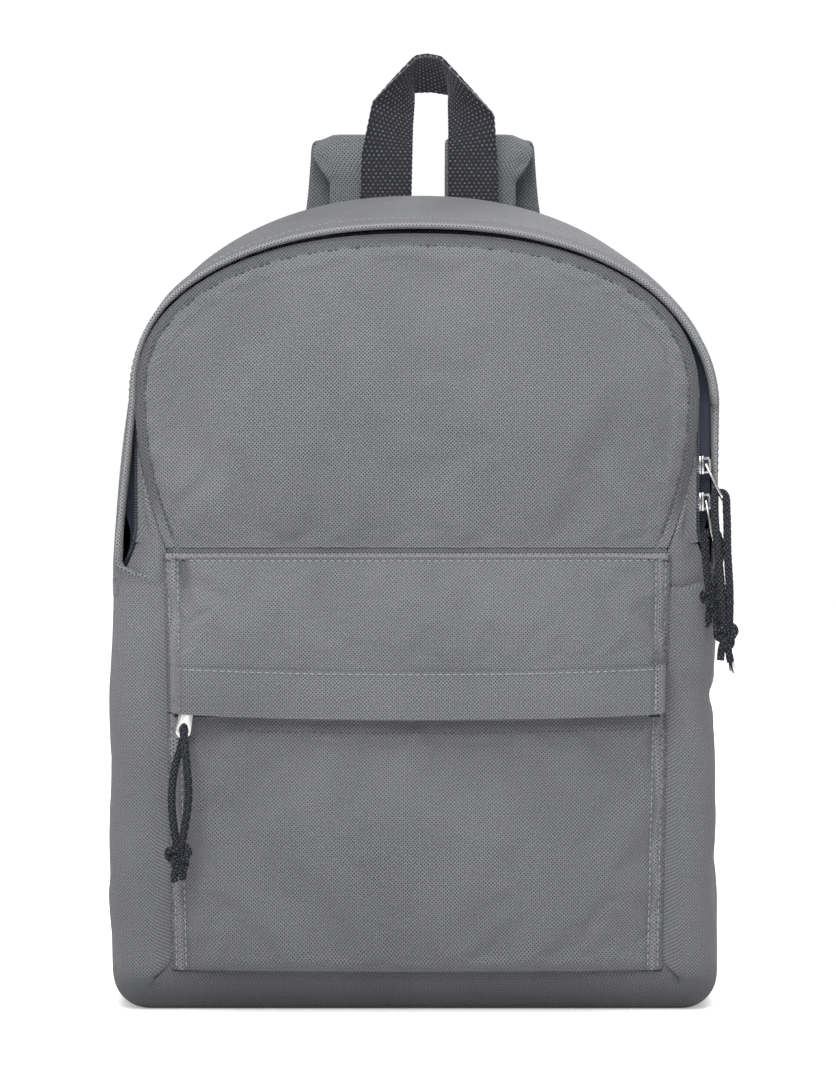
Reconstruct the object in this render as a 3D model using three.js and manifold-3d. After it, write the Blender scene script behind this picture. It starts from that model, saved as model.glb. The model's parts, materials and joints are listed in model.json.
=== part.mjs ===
// Daypack: a small rucksack with an arched zip-open front, a zipped front pocket, a webbing grab
// handle and two padded shoulder straps. Millimetres, +Z up, the front faces -Y, and the origin is
// the middle of the flat base.
import * as THREE from 'three';
import { mergeVertices } from 'three/addons/utils/BufferGeometryUtils.js';
import Module from 'manifold-3d';

const wasm = await Module();
wasm.setup();

// ---- driving dimensions ----
const GAP = 0.4;                 // clearance kept between pieces that touch
const FABRIC = 1.4;              // thickness of a coated shell fabric with its lining
const FRONT_Y = -60;             // outer face of the front panel
const BACK_Y = 60;               // outer face of the back panel
const ARCH_Z = 300;              // the straight sides end here and the arch begins
const ZIP_END_Z = 222;           // lower ends of the main zip
const FOLD_Z = 226;              // line about which the open front folds down
const BASE_RADIUS = 24;          // bottom corners, seen from the front
const FRONT_RISE = 85;           // height of the arch at the front and at the back
const BACK_RISE = 109;
const FRONT_HALF = { arch: 143.5, base: 145 };   // half-widths of the outline at the front face
const BACK_HALF = { arch: 146, base: 148 };      // and at the back face
const SWELL = 3.5;               // how much wider the sides stand at mid depth
const ARCH_POWER = { front: 2.5, back: 2.15 };   // squareness of the arch, 2 being an ellipse
const LID = { half: 138, rise: 79, power: 2.5, taper: 13 };
const ZIP = { half: 136.5, rise: 80, power: 2.5, y: -50 };
const POCKET = { half: 123, top: 223, seam: 167, zip: 152, bottom: 19 };
const POCKET_ZIP_DEPTH = 10;     // how far the pocket zip stands in front of the front panel
const WEBBING = 25;              // width of the handle webbing
const STRAP = { top: 47, middle: 62, end: 34, thick: 9 };
const CORD = 3;                  // diameter of the pull cords
const TAB = { wide: 7.4, long: 20, thick: 1.2 };
const SLIDER_LONG = 9;
const UPPER_SLIDER_Z = 267;
const LOWER_SLIDER_Z = 249;
const POCKET_SLIDER_X = -107.5;
const TILT = { upper: 26, lower: 10, pocket: 9 };   // how far each pull tab leans at rest, degrees

const pack = new THREE.Group();
const looks = {
  shell: { color: 0x6e7073, roughness: 0.9, metalness: 0 },
  lining: { color: 0x4a4c50, roughness: 0.9, metalness: 0 },
  foam: { color: 0x3c3c3e, roughness: 0.95, metalness: 0 },
  webbing: { color: 0x2f323b, roughness: 0.85, metalness: 0 },
  zip: { color: 0x2b2e36, roughness: 0.7, metalness: 0 },
  nickel: { color: 0xc9c9c6, roughness: 0.25, metalness: 1 },
  plastic: { color: 0x1c1d20, roughness: 0.5, metalness: 0 },
  cord: { color: 0x22242c, roughness: 0.9, metalness: 0 },
};

// ---- helpers ----
const lerp = THREE.MathUtils.lerp;
const clamp = THREE.MathUtils.clamp;
const smooth = THREE.MathUtils.smoothstep;
const radians = THREE.MathUtils.degToRad;
const at = (x, y, z) => new THREE.Vector3(x, y, z);

function add(name, geometry, look, place = {}) {
  const mesh = new THREE.Mesh(geometry, new THREE.MeshStandardMaterial(looks[look]));
  mesh.name = name;
  mesh.position.copy(place.position ?? at(0, 0, 0));
  mesh.rotation.copy(place.rotation ?? new THREE.Euler());
  pack.add(mesh);
  return mesh;
}

function signedVolume(geometry) {
  const p = geometry.attributes.position;
  const corner = [at(0, 0, 0), at(0, 0, 0), at(0, 0, 0)];
  let total = 0;
  for (let i = 0; i < geometry.index.count; i += 3) {
    corner.forEach((c, k) => c.fromBufferAttribute(p, geometry.index.getX(i + k)));
    total += corner[0].dot(corner[1].clone().cross(corner[2])) / 6;
  }
  return total;
}

function faceOut(geometry) {
  if (signedVolume(geometry) < 0) {
    geometry.setIndex(Array.from(geometry.index.array).reverse());
  }
  return geometry;
}

// A sheet of even thickness: a box bent onto the surface (u, v) -> point, each of u and v in 0..1.
// The surface is the middle of the sheet.
function sheet(surface, across, along, thickness = FABRIC) {
  const geometry = new THREE.BoxGeometry(1, 1, 1, across, along, 1);
  const p = geometry.attributes.position;
  const step = 1e-3;
  for (let i = 0; i < p.count; i += 1) {
    const u = p.getX(i) + 0.5;
    const v = p.getY(i) + 0.5;
    const u0 = clamp(u - step, 0, 1);
    const u1 = clamp(u + step, 0, 1);
    const v0 = clamp(v - step, 0, 1);
    const v1 = clamp(v + step, 0, 1);
    const du = surface(u1, v).sub(surface(u0, v));
    const dv = surface(u, v1).sub(surface(u, v0));
    const normal = du.cross(dv).normalize();
    const q = surface(u, v).addScaledVector(normal, p.getZ(i) * thickness);
    p.setXYZ(i, q.x, q.y, q.z);
  }
  return faceOut(bare(geometry));
}

function bare(geometry) {
  const g = geometry.clone();
  g.deleteAttribute('normal');
  g.deleteAttribute('uv');
  return mergeVertices(g, 1e-4);
}

function solid(geometry) {
  const g = bare(geometry);
  const vertProperties = Float32Array.from(g.attributes.position.array);
  const triVerts = Uint32Array.from(g.index.array);
  return new wasm.Manifold(new wasm.Mesh({ numProp: 3, vertProperties, triVerts }));
}

function fromSolid(manifold) {
  const mesh = manifold.getMesh();
  const g = new THREE.BufferGeometry();
  g.setAttribute('position', new THREE.BufferAttribute(mesh.vertProperties, 3));
  g.setIndex(new THREE.BufferAttribute(mesh.triVerts, 1));
  return g;
}

// A flat outline in X and Z, extruded along Y from yFront to yBack.
function plate(outline, yFront, yBack) {
  const g = new THREE.ExtrudeGeometry(outline, { depth: yBack - yFront, bevelEnabled: false });
  g.rotateX(Math.PI / 2);
  g.translate(0, yBack, 0);
  return g;
}

function tube(points, diameter, steps, sides = 8) {
  const ring = [];
  for (let i = 0; i < sides; i += 1) {
    const angle = (2 * Math.PI * i) / sides;
    ring.push(new THREE.Vector2(Math.cos(angle), Math.sin(angle)).multiplyScalar(diameter / 2));
  }
  const path = new THREE.CatmullRomCurve3(points, false, 'centripetal');
  return new THREE.ExtrudeGeometry(new THREE.Shape(ring), { steps, extrudePath: path, bevelEnabled: false });
}

// ---- the shape of the shell ----
// Half-width and height of the arch at each depth, with the sides swelling at mid depth.
function shellAt(y) {
  const t = (y - FRONT_Y) / (BACK_Y - FRONT_Y);
  const belly = 4 * t * (1 - t);
  return {
    arch: lerp(FRONT_HALF.arch, BACK_HALF.arch, t) + SWELL * belly,
    base: lerp(FRONT_HALF.base, BACK_HALF.base, t) + SWELL * belly,
    rise: lerp(FRONT_RISE, BACK_RISE, t),
    power: lerp(ARCH_POWER.front, ARCH_POWER.back, t),
  };
}

function halfWidth(y, z) {
  const shell = shellAt(y);
  return lerp(shell.base, shell.arch, clamp((z - BASE_RADIUS) / (ARCH_Z - BASE_RADIUS), 0, 1));
}

// One superelliptic arch on straight legs, s = 0 at the left leg's foot and 1 at the right leg's.
const LEG_SHARE = 0.16;
function archPoint(s, half, rise, power, footZ, widthAt = () => half) {
  const side = s < 0.5 ? -1 : 1;
  const fromFoot = s < 0.5 ? s : 1 - s;
  if (fromFoot < LEG_SHARE) {
    const z = lerp(footZ, ARCH_Z, fromFoot / LEG_SHARE);
    return { x: side * widthAt(z), z };
  }
  const angle = (Math.PI / 2) * ((fromFoot - LEG_SHARE) / (0.5 - LEG_SHARE));
  return {
    x: side * half * Math.max(Math.cos(angle), 0) ** (2 / power),
    z: ARCH_Z + rise * Math.sin(angle) ** (2 / power),
  };
}

function shellArch(s, y, inset = 0, footZ = ZIP_END_Z + GAP) {
  const shell = shellAt(y);
  const widthAt = (z) => halfWidth(y, z) - inset;
  const p = archPoint(s, shell.arch - inset, shell.rise - inset, shell.power, footZ, widthAt);
  return at(p.x, y, p.z);
}

// Below the zip ends the front corner of the side is rounded off, more so toward the top.
const CORNER = { fromZ: 150, least: 2, moreX: 16, moreY: 12 };
function cornerSize(z) {
  const k = smooth(z, CORNER.fromZ, ZIP_END_Z);
  return { x: CORNER.least + CORNER.moreX * k, y: CORNER.least + CORNER.moreY * k };
}

function frontHalf(z) {
  return halfWidth(FRONT_Y, z) - cornerSize(z).x;
}

// ---- shell panels ----
const SHELL_FRONT = FRONT_Y + FABRIC + GAP;
const SHELL_BACK = BACK_Y - FABRIC - GAP;

const GUSSET_FRONT = -44;        // the gusset's front edge, behind the main zip
function gusset(u, v) {
  return shellArch(u, lerp(GUSSET_FRONT, SHELL_BACK, v), FABRIC / 2);
}
add('top_gusset', sheet(gusset, 36, 3), 'shell');

const CORNER_SHARE = 0.3;
function sidePanel(side) {
  return (u, v) => {
    const z = lerp(BASE_RADIUS + GAP, ZIP_END_Z - GAP, u);
    const corner = cornerSize(z);
    const turn = (Math.PI / 2) * clamp(v / CORNER_SHARE, 0, 1);
    const back = clamp((v - CORNER_SHARE) / (1 - CORNER_SHARE), 0, 1);
    const cornerY = SHELL_FRONT + FABRIC / 2 + corner.y * (1 - Math.cos(turn));
    const y = lerp(cornerY, SHELL_BACK, back);
    const x = halfWidth(y, z) - FABRIC / 2 - corner.x * (1 - Math.sin(turn));
    return at(side * x, y, z);
  };
}
add('side_panel_left', sheet(sidePanel(-1), 8, 7), 'shell');
add('side_panel_right', sheet(sidePanel(1), 8, 7), 'shell');

// The base is a strip that runs down one bottom corner, across the flat and up the other.
const BASE_THICK = 2;
const CORNER_TURN = 0.2;
function basePanel(u, v) {
  const y = lerp(SHELL_FRONT, SHELL_BACK, v);
  const side = u < 0.5 ? -1 : 1;
  const fromEnd = u < 0.5 ? u : 1 - u;
  const radius = BASE_RADIUS - BASE_THICK / 2;
  const centre = shellAt(y).base - BASE_RADIUS;
  const turn = (Math.PI / 2) * clamp(fromEnd / CORNER_TURN, 0, 1);
  const inward = clamp((fromEnd - CORNER_TURN) / (0.5 - CORNER_TURN), 0, 1);
  const x = (centre + radius * Math.cos(turn)) * (1 - inward);
  return at(side * x, y, BASE_RADIUS - radius * Math.sin(turn));
}
add('base_panel', sheet(basePanel, 20, 3, BASE_THICK), 'shell');

function lowerOutline(halfAt, footZ, topZ, radius, steps = 8) {
  const shape = new THREE.Shape();
  const foot = halfAt(footZ);
  shape.absarc(-foot + radius, footZ + radius, radius, Math.PI, 1.5 * Math.PI, false);
  shape.absarc(foot - radius, footZ + radius, radius, 1.5 * Math.PI, 2 * Math.PI, false);
  for (let i = 1; i <= steps; i += 1) {
    const z = lerp(footZ + radius, topZ, i / steps);
    shape.lineTo(halfAt(z), z);
  }
  for (let i = steps; i >= 1; i -= 1) {
    const z = lerp(footZ + radius, topZ, i / steps);
    shape.lineTo(-halfAt(z), z);
  }
  return shape;
}
const frontOutline = lowerOutline(frontHalf, 0, FOLD_Z - GAP, BASE_RADIUS);
add('front_panel_lower', plate(frontOutline, FRONT_Y, FRONT_Y + FABRIC), 'shell');

function backOutline(inset) {
  const shape = new THREE.Shape();
  const steps = 24;
  const radius = BASE_RADIUS - inset;
  const foot = halfWidth(BACK_Y, 0) - inset;
  shape.absarc(-foot + radius, BASE_RADIUS, radius, Math.PI, 1.5 * Math.PI, false);
  shape.absarc(foot - radius, BASE_RADIUS, radius, 1.5 * Math.PI, 2 * Math.PI, false);
  for (let i = 0; i <= steps; i += 1) {
    const p = shellArch(1 - i / steps, BACK_Y, inset, ZIP_END_Z);
    shape.lineTo(p.x, p.z);
  }
  return shape;
}
const FOAM_THICK = 6;
const FOAM_INSET = 7;
const LINING_INSET = 6;
const LINING_THICK = 0.8;
const FOAM_BACK = BACK_Y - FABRIC - GAP;
const FOAM_FRONT = FOAM_BACK - FOAM_THICK;
add('back_panel', plate(backOutline(0), BACK_Y - FABRIC, BACK_Y), 'shell');
add('back_foam', plate(backOutline(FOAM_INSET), FOAM_FRONT, FOAM_BACK), 'foam');
const LINING_BACK = FOAM_FRONT - GAP;
add('back_lining', plate(backOutline(LINING_INSET), LINING_BACK - LINING_THICK, LINING_BACK), 'lining');

// ---- main zip: a belt of tape that follows the arch, its two rows of teeth facing outward ----
const TAPE_THICK = 0.8;
const TOOTH = { wide: 1.3, thick: 1.6 };
const ROW_SPLIT = 0.6;           // half the space between the two rows

function zipPoint(s, y, out = 0) {
  const p = archPoint(s, ZIP.half + out, ZIP.rise + out, ZIP.power, ZIP_END_Z + GAP);
  return at(p.x, y, p.z);
}

function lidEdge(s, inset = 0) {
  const footZ = FOLD_Z + GAP;
  const widthAt = (z) => LID.half - inset - LID.taper * smooth(ARCH_Z - 20 - z, 0, ARCH_Z - 20 - footZ);
  const p = archPoint(s, LID.half - inset, LID.rise - inset, LID.power, footZ, widthAt);
  return at(p.x, FRONT_Y, p.z);
}

const frontRowY = ZIP.y - ROW_SPLIT - TOOTH.wide / 2;
const rearRowY = ZIP.y + ROW_SPLIT + TOOTH.wide / 2;
const toothOut = TAPE_THICK / 2 + GAP + TOOTH.thick / 2;
const lidFootShare = (FOLD_Z - ZIP_END_Z) / (ARCH_Z - ZIP_END_Z) * LEG_SHARE;
const onLid = (s) => lerp(lidFootShare, 1 - lidFootShare, s);

function toothRow(y, span) {
  return (u, v) => zipPoint(span(u), lerp(y - TOOTH.wide / 2, y + TOOTH.wide / 2, v), toothOut);
}
const whole = (s) => s;
add('main_zip_coil_rear', sheet(toothRow(rearRowY, whole), 34, 1, TOOTH.thick), 'zip');
// Each tape lies flat under its row and the slider's plates, then slants off to its seam.
const FLAT_TAPE = 4.8;
const REAR_SEAM_Y = -40;
function tapePoint(row, flatEnd, seam, v) {
  return v < 0.5 ? row.lerp(flatEnd, 2 * v) : flatEnd.lerp(seam, 2 * v - 1);
}
add('main_zip_tape_rear', sheet((u, v) => {
  const seam = shellArch(u, REAR_SEAM_Y, FABRIC + 2 * GAP + TAPE_THICK);
  return tapePoint(zipPoint(u, ZIP.y + ROW_SPLIT), zipPoint(u, ZIP.y + FLAT_TAPE), seam, v);
}, 34, 2, TAPE_THICK), 'zip');

// The storm flap stands over the zip from outside. Beside the sliders it is folded back clear of them.
const FLAP_THICK = 1.1;
const FLAP_OUT = 6.2;
const FLAP_OPEN = 0.75;          // share of the arch's length where the right side starts to fold back
const FLAP_TURN = 0.08;          // and the share that it takes to do so
const FLAP_Y = { edge: -57, folded: -45.8, seam: -44.4 };
function stormFlap(u, v) {
  const folded = smooth(u, FLAP_OPEN, FLAP_OPEN + FLAP_TURN);
  const edge = lerp(FLAP_Y.edge, FLAP_Y.folded, folded);
  const y = lerp(edge, FLAP_Y.seam, v);
  return zipPoint(u, y, FLAP_OUT - FABRIC * folded);
}
add('main_zip_flap', sheet(stormFlap, 40, 1, FLAP_THICK), 'shell');

const END_TAB = { thick: 1.2, wide: 12, high: 9, y: -36, z: ZIP_END_Z - 8 };
const zipEndTab = new THREE.BoxGeometry(END_TAB.thick, END_TAB.wide, END_TAB.high);
for (const side of [-1, 1]) {
  const name = side < 0 ? 'zip_end_tab_left' : 'zip_end_tab_right';
  const x = halfWidth(END_TAB.y, END_TAB.z) + END_TAB.thick / 2 + 2 * GAP;
  add(name, zipEndTab, 'webbing', { position: at(side * x, END_TAB.y, END_TAB.z) });
}

// ---- the lid: the upper front panel with its half of the zip ----
const LID_BULGE = 4;
const LID_SEAM = 2.5;            // the tape's seam lies this far inside the lid's edge
function lidPanel(u, v) {
  const top = lidEdge(lerp(LEG_SHARE, 1 - LEG_SHARE, u));
  const foot = FOLD_Z + GAP;
  const z = lerp(foot, top.z, v);
  const taper = LID.taper * smooth(ARCH_Z - 20 - z, 0, ARCH_Z - 20 - foot);
  const x = top.x * (LID.half - taper) / LID.half;
  const bulge = LID_BULGE * (1 - (x / LID.half) ** 2) * Math.sin(Math.PI * v);
  return at(x, FRONT_Y + FABRIC / 2 - bulge, z);
}
add('front_panel_upper', sheet(lidPanel, 20, 5), 'shell');
add('main_zip_tape_front', sheet((u, v) => {
  const seam = lidEdge(u, LID_SEAM);
  seam.y = FRONT_Y + FABRIC + GAP;
  const s = onLid(u);
  return tapePoint(zipPoint(s, ZIP.y - ROW_SPLIT), zipPoint(s, ZIP.y - FLAT_TAPE), seam, v);
}, 34, 2, TAPE_THICK), 'zip');
add('main_zip_coil_front', sheet(toothRow(frontRowY, onLid), 34, 1, TOOTH.thick), 'zip');

// ---- front pocket ----
const FLAP_EDGE = 143.5;         // lower edge of the flap over the pocket zip
const acrossPocket = (u) => POCKET.half * Math.sin(Math.PI * (u - 0.5));
const pocketEdge = (x) => (1 - Math.abs(x / POCKET.half) ** 24) ** 0.5;
const POCKET_BACK = FRONT_Y - GAP - FABRIC / 2;
const UPPER_DEPTH = 20;
const LOWER_DEPTH = 9;
const LOWER_BELLY = 5;
const LOWER_RIM = 0.3;           // share of the lower panel that curves in to its bottom seam

function pocketUpper(u, v) {
  const x = acrossPocket(u);
  const z = lerp(POCKET.top, POCKET.seam + GAP, v);
  const depth = UPPER_DEPTH * Math.sin((Math.PI / 2) * clamp(v / 0.7, 0, 1)) ** 0.8;
  return at(x, POCKET_BACK - depth * pocketEdge(x), z);
}
add('pocket_panel_upper', sheet(pocketUpper, 16, 4), 'shell');

function pocketLower(u, v) {
  const x = acrossPocket(u);
  const z = lerp(FLAP_EDGE - GAP, POCKET.bottom, v);
  const rim = Math.cos((Math.PI / 2) * clamp((v - 1 + LOWER_RIM) / LOWER_RIM, 0, 1)) ** 0.6;
  const round = Math.sin(Math.PI * clamp((v - LOWER_RIM / 2) / 0.75, 0, 1));
  const belly = LOWER_BELLY * round * (1 - (x / POCKET.half) ** 2);
  const depth = (LOWER_DEPTH + belly) * rim;
  return at(x, POCKET_BACK - depth * pocketEdge(x), z);
}
add('pocket_panel_lower', sheet(pocketLower, 16, 7), 'shell');

// The flap over the pocket zip hangs from the upper panel's seam.
function pocketFlap(u, v) {
  const x = acrossPocket(u);
  const z = lerp(POCKET.seam, FLAP_EDGE, v);
  return at(x, POCKET_BACK - (UPPER_DEPTH + 0.5) * pocketEdge(x), z);
}
add('pocket_zip_flap', sheet(pocketFlap, 16, 1, FLAP_THICK), 'shell');

const ZIP_HALF = 118;            // the pocket zip runs straight, short of the side seams
const zipFaceY = FRONT_Y - GAP - POCKET_ZIP_DEPTH;
const POCKET_TAPE_WIDE = 7;
const pocketTape = new THREE.BoxGeometry(2 * ZIP_HALF, TAPE_THICK, POCKET_TAPE_WIDE);
const pocketTapeRise = ROW_SPLIT + POCKET_TAPE_WIDE / 2;
add('pocket_zip_tape_upper', pocketTape, 'zip', { position: at(0, zipFaceY, POCKET.zip + pocketTapeRise) });
add('pocket_zip_tape_lower', pocketTape, 'zip', { position: at(0, zipFaceY, POCKET.zip - pocketTapeRise) });
const pocketRow = new THREE.BoxGeometry(2 * ZIP_HALF, TOOTH.thick, TOOTH.wide);
const pocketRowY = zipFaceY - toothOut;
for (const side of [-1, 1]) {
  const name = side < 0 ? 'pocket_zip_coil_lower' : 'pocket_zip_coil_upper';
  const z = POCKET.zip + side * (ROW_SPLIT + TOOTH.wide / 2);
  add(name, pocketRow, 'zip', { position: at(0, pocketRowY, z) });
}

// ---- sliders: two plates joined by a post between the rows, with an arched bail on the outer one ----
// The slider is drawn with its travel along Z, its bail toward +X and the tape's middle at x = 0.
const PLATE = { thick: 1.2, wide: 9 };
const outerPlateX = toothOut + TOOTH.thick / 2 + GAP + PLATE.thick / 2;
const innerPlateX = -TAPE_THICK / 2 - GAP - PLATE.thick / 2;
const BAIL = { wide: 1.6, long: 8, bar: 1.2, rise: 3.7, bevel: 1 };
const BAIL_PIN = outerPlateX + PLATE.thick / 2 + 1.2;
const POST_SLACK = 0.25;         // space between the post and each row of teeth

function sliderShape() {
  const plateBox = new THREE.BoxGeometry(PLATE.thick, PLATE.wide, SLIDER_LONG);
  const outer = solid(plateBox.clone().translate(outerPlateX, 0, 0));
  const inner = solid(plateBox.clone().translate(innerPlateX, 0, 0));
  const postLong = outerPlateX - innerPlateX;
  const post = new THREE.BoxGeometry(postLong, 2 * (ROW_SPLIT - POST_SLACK), SLIDER_LONG);
  const middle = solid(post.translate((outerPlateX + innerPlateX) / 2, 0, 0));
  const bail = new THREE.Shape();
  const foot = outerPlateX;
  const top = foot + PLATE.thick / 2 + BAIL.rise;
  bail.moveTo(foot, -BAIL.long / 2);
  bail.lineTo(top - BAIL.bevel, -BAIL.long / 2);
  bail.lineTo(top, -BAIL.long / 2 + 1.5 * BAIL.bevel);
  bail.lineTo(top, BAIL.long / 2 - 1.5 * BAIL.bevel);
  bail.lineTo(top - BAIL.bevel, BAIL.long / 2);
  bail.lineTo(foot, BAIL.long / 2);
  const hole = new THREE.Path();
  hole.moveTo(foot + 0.3, -BAIL.long / 2 + BAIL.bar);
  hole.lineTo(foot + 0.3, BAIL.long / 2 - BAIL.bar);
  hole.lineTo(top - BAIL.bar, BAIL.long / 2 - BAIL.bar);
  hole.lineTo(top - BAIL.bar, -BAIL.long / 2 + BAIL.bar);
  bail.holes.push(hole);
  const arch = new THREE.ExtrudeGeometry(bail, { depth: BAIL.wide, bevelEnabled: false });
  arch.rotateX(Math.PI / 2).translate(0, BAIL.wide / 2, 0);
  return fromSolid(outer.add(middle).add(inner).add(solid(arch)));
}

// The tab hangs from its crossbar at the local origin, flat in Y and Z, with an eye at its lower end.
const EYE = { z: -TAB.long + 4.6, wide: 4.2, high: 5.8 };
const WINDOW = { half: 1.3, top: -0.7, bottom: -5 };   // the opening that the bail passes through
function tabShape() {
  const half = TAB.wide / 2;
  const shape = new THREE.Shape();
  shape.moveTo(-half + 0.6, 0.7);
  shape.lineTo(half - 0.6, 0.7);
  shape.lineTo(half, -TAB.long + half);
  shape.absarc(0, -TAB.long + half, half, 0, -Math.PI, true);
  const window = new THREE.Path();
  window.moveTo(-WINDOW.half, WINDOW.top);
  window.lineTo(-WINDOW.half, WINDOW.bottom);
  window.lineTo(WINDOW.half, WINDOW.bottom);
  window.lineTo(WINDOW.half, WINDOW.top);
  const eye = new THREE.Path();
  eye.absellipse(0, EYE.z, EYE.wide / 2, EYE.high / 2, 0, 2 * Math.PI, false, 0);
  shape.holes.push(window, eye);
  const g = new THREE.ExtrudeGeometry(shape, { depth: TAB.thick, bevelEnabled: false, curveSegments: 8 });
  g.translate(0, 0, -TAB.thick / 2);
  g.rotateY(Math.PI / 2);
  g.rotateX(Math.PI / 2);
  return g;
}

const mainSlider = sliderShape();
const tab = tabShape();
for (const [place, z] of [['upper', UPPER_SLIDER_Z], ['lower', LOWER_SLIDER_Z]]) {
  add(`slider_${place}`, mainSlider, 'nickel', { position: at(ZIP.half, ZIP.y, z) });
  add(`pull_tab_${place}`, tab, 'nickel', {
    position: at(ZIP.half + BAIL_PIN, ZIP.y, z),
    rotation: new THREE.Euler(0, radians(-TILT[place]), 0),
  });
}

// On the pocket the travel lies along X and the bail faces forward. The tab hangs on the bail's left
// leg, so it swings in its own plane.
const forward = new THREE.Matrix4().makeBasis(at(0, -1, 0), at(0, 0, -1), at(1, 0, 0));
add('pocket_slider', mainSlider, 'nickel', {
  position: at(POCKET_SLIDER_X, zipFaceY, POCKET.zip),
  rotation: new THREE.Euler().setFromRotationMatrix(forward),
});
const bailLegX = POCKET_SLIDER_X - (BAIL.long - BAIL.bar) / 2;
const TAB_DROP = 2;              // the crossbar's height above the bail leg it hangs on
const pocketPull = new THREE.Group();
pocketPull.position.set(bailLegX, zipFaceY - BAIL_PIN, POCKET.zip);
pocketPull.rotation.y = radians(TILT.pocket);
pack.add(pocketPull);
const pocketTab = add('pocket_pull_tab', tab, 'nickel', {
  position: at(0, 0, TAB_DROP),
  rotation: new THREE.Euler(0, 0, -Math.PI / 2),
});
pocketPull.add(pocketTab);

// ---- pull cords: each runs from its knot up through the tab's eye and back to the knot ----
const KNOT = { main: 4.8, pocket: 5.3 };
function knot(name, centre, radius, tail) {
  const lump = new THREE.SphereGeometry(radius, 10, 6).rotateX(Math.PI / 2).scale(0.9, 0.75, 1);
  lump.translate(centre.x, centre.y, centre.z);
  const end = tube([centre, ...tail], CORD, 2 * tail.length + 2);
  add(name, fromSolid(solid(lump).add(solid(end))), 'cord');
}

add('pull_cord_lower', tube([
  at(144.8, -65.4, 207.2), at(146.8, -62.5, 216), at(148.3, -56, 226), at(147, -50.8, 233.5),
  at(144.3, -50, 234.2), at(141.7, -50.8, 233.6), at(141, -54.5, 228), at(141.2, -60, 219),
  at(142.2, -64.8, 207.2),
], CORD, 22), 'cord');
knot('pull_knot_lower', at(143.5, -65.6, 202), KNOT.main, [at(143, -65, 197), at(142.4, -64.4, 190)]);
add('pull_cord_upper', tube([
  at(151.4, -72, 189.2), at(153.4, -72.4, 205), at(154.5, -67, 225), at(154, -57, 243),
  at(151.6, -50.8, 253.2), at(148.5, -50, 253.6), at(146.2, -50.6, 253.8), at(145.6, -54.5, 249.5),
  at(147.2, -62, 240), at(149.8, -69.5, 224), at(150, -72.4, 205), at(148.9, -72.4, 189.2),
], CORD, 32), 'cord');
knot('pull_knot_upper', at(150, -72.2, 184), KNOT.main, [at(150.6, -72, 178), at(151.4, -71.6, 168)]);
add('pocket_pull_cord', tube([
  at(-115.9, -82.4, 83.2), at(-116.2, -81.4, 105), at(-114.6, -78.6, 123), at(-113.5, -73.6, 132),
  at(-113.1, -73.2, 137.5), at(-113, -75.6, 138.8), at(-112.9, -78.1, 137.5), at(-112.3, -80.4, 128),
  at(-111.6, -82, 110), at(-113.5, -82.8, 83.2),
], CORD, 30), 'cord');
knot('pocket_pull_knot', at(-114.7, -82.6, 77.6), KNOT.pocket, [at(-115.4, -82.4, 71), at(-116, -82.2, 66)]);

// ---- grab handle: one length of webbing whose legs stand flat and whose top band turns over ----
const HANDLE = { x: 5, y: 52, foot: 408.5, top: 472, spread: 22.7, thick: 1.8 };
function handleSurface() {
  const { x, y, foot, top, spread } = HANDLE;
  const half = [
    [at(-spread, y, foot), at(1, 0, 0)],
    [at(-spread + 0.5, y, lerp(foot, top, 0.45)), at(1, 0, -0.05)],
    [at(-spread + 5, y + 2, lerp(foot, top, 0.82)), at(0.72, 0.5, -0.5)],
    [at(-spread + 14, y + 4, top - 2), at(0.3, 0.75, -0.6)],
  ];
  const middle = [at(0, y + 4, top), at(0, 0.77, -0.64)];
  const mirrored = half.map(([p, w]) => [at(-p.x, p.y, p.z), at(-w.x, w.y, w.z)]).reverse();
  const frames = [...half, middle, ...mirrored];
  const centre = new THREE.CatmullRomCurve3(frames.map(([p]) => p.add(at(x, 0, 0))));
  const width = new THREE.CatmullRomCurve3(frames.map(([, w]) => w));
  return (u, v) => {
    const across = width.getPoint(u).normalize();
    return centre.getPoint(u).addScaledVector(across, (v - 0.5) * WEBBING);
  };
}
add('grab_handle', sheet(handleSurface(), 28, 1, HANDLE.thick), 'webbing');

// ---- shoulder straps ----
const STRAP_X = 3;               // the straps and the yoke sit this far off centre
const YOKE_Y = BACK_Y + GAP;
const YOKE = { wide: 140, high: 34, z: 382 };
const yoke = new THREE.BoxGeometry(YOKE.wide, FABRIC, YOKE.high);
add('strap_yoke', yoke, 'shell', { position: at(STRAP_X, YOKE_Y + FABRIC / 2, YOKE.z) });

const strapY = YOKE_Y + FABRIC + GAP + STRAP.thick / 2;
const LOCK = { x: 84, y: 82, z: 136, wide: 30, high: 20, thick: 4, slot: 5, rail: 3 };
function strapSurface(side) {
  const route = [
    [34.5, strapY, 384], [34.5, strapY, 408], [34.5, strapY + 1.5, 426], [34.8, strapY + 11.5, 439],
    [36, strapY + 22, 426], [38, strapY + 24, 400], [46, strapY + 24, 350], [60, strapY + 22, 280],
    [73, strapY + 19, 210], [LOCK.x, LOCK.y, LOCK.z + LOCK.high / 2 + 2 * GAP],
  ].map(([x, y, z]) => at(STRAP_X + side * x, y, z));
  const centre = new THREE.CatmullRomCurve3(route, false, 'centripetal');
  return (u, v) => {
    const widen = Math.sin(Math.PI * smooth(u, 0.2, 1.15));
    const narrow = smooth(u, 0.7, 1);
    const wide = lerp(STRAP.top, STRAP.end, narrow) + (STRAP.middle - STRAP.top) * widen;
    return centre.getPoint(u).add(at((v - 0.5) * wide, 0, 0));
  };
}

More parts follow.
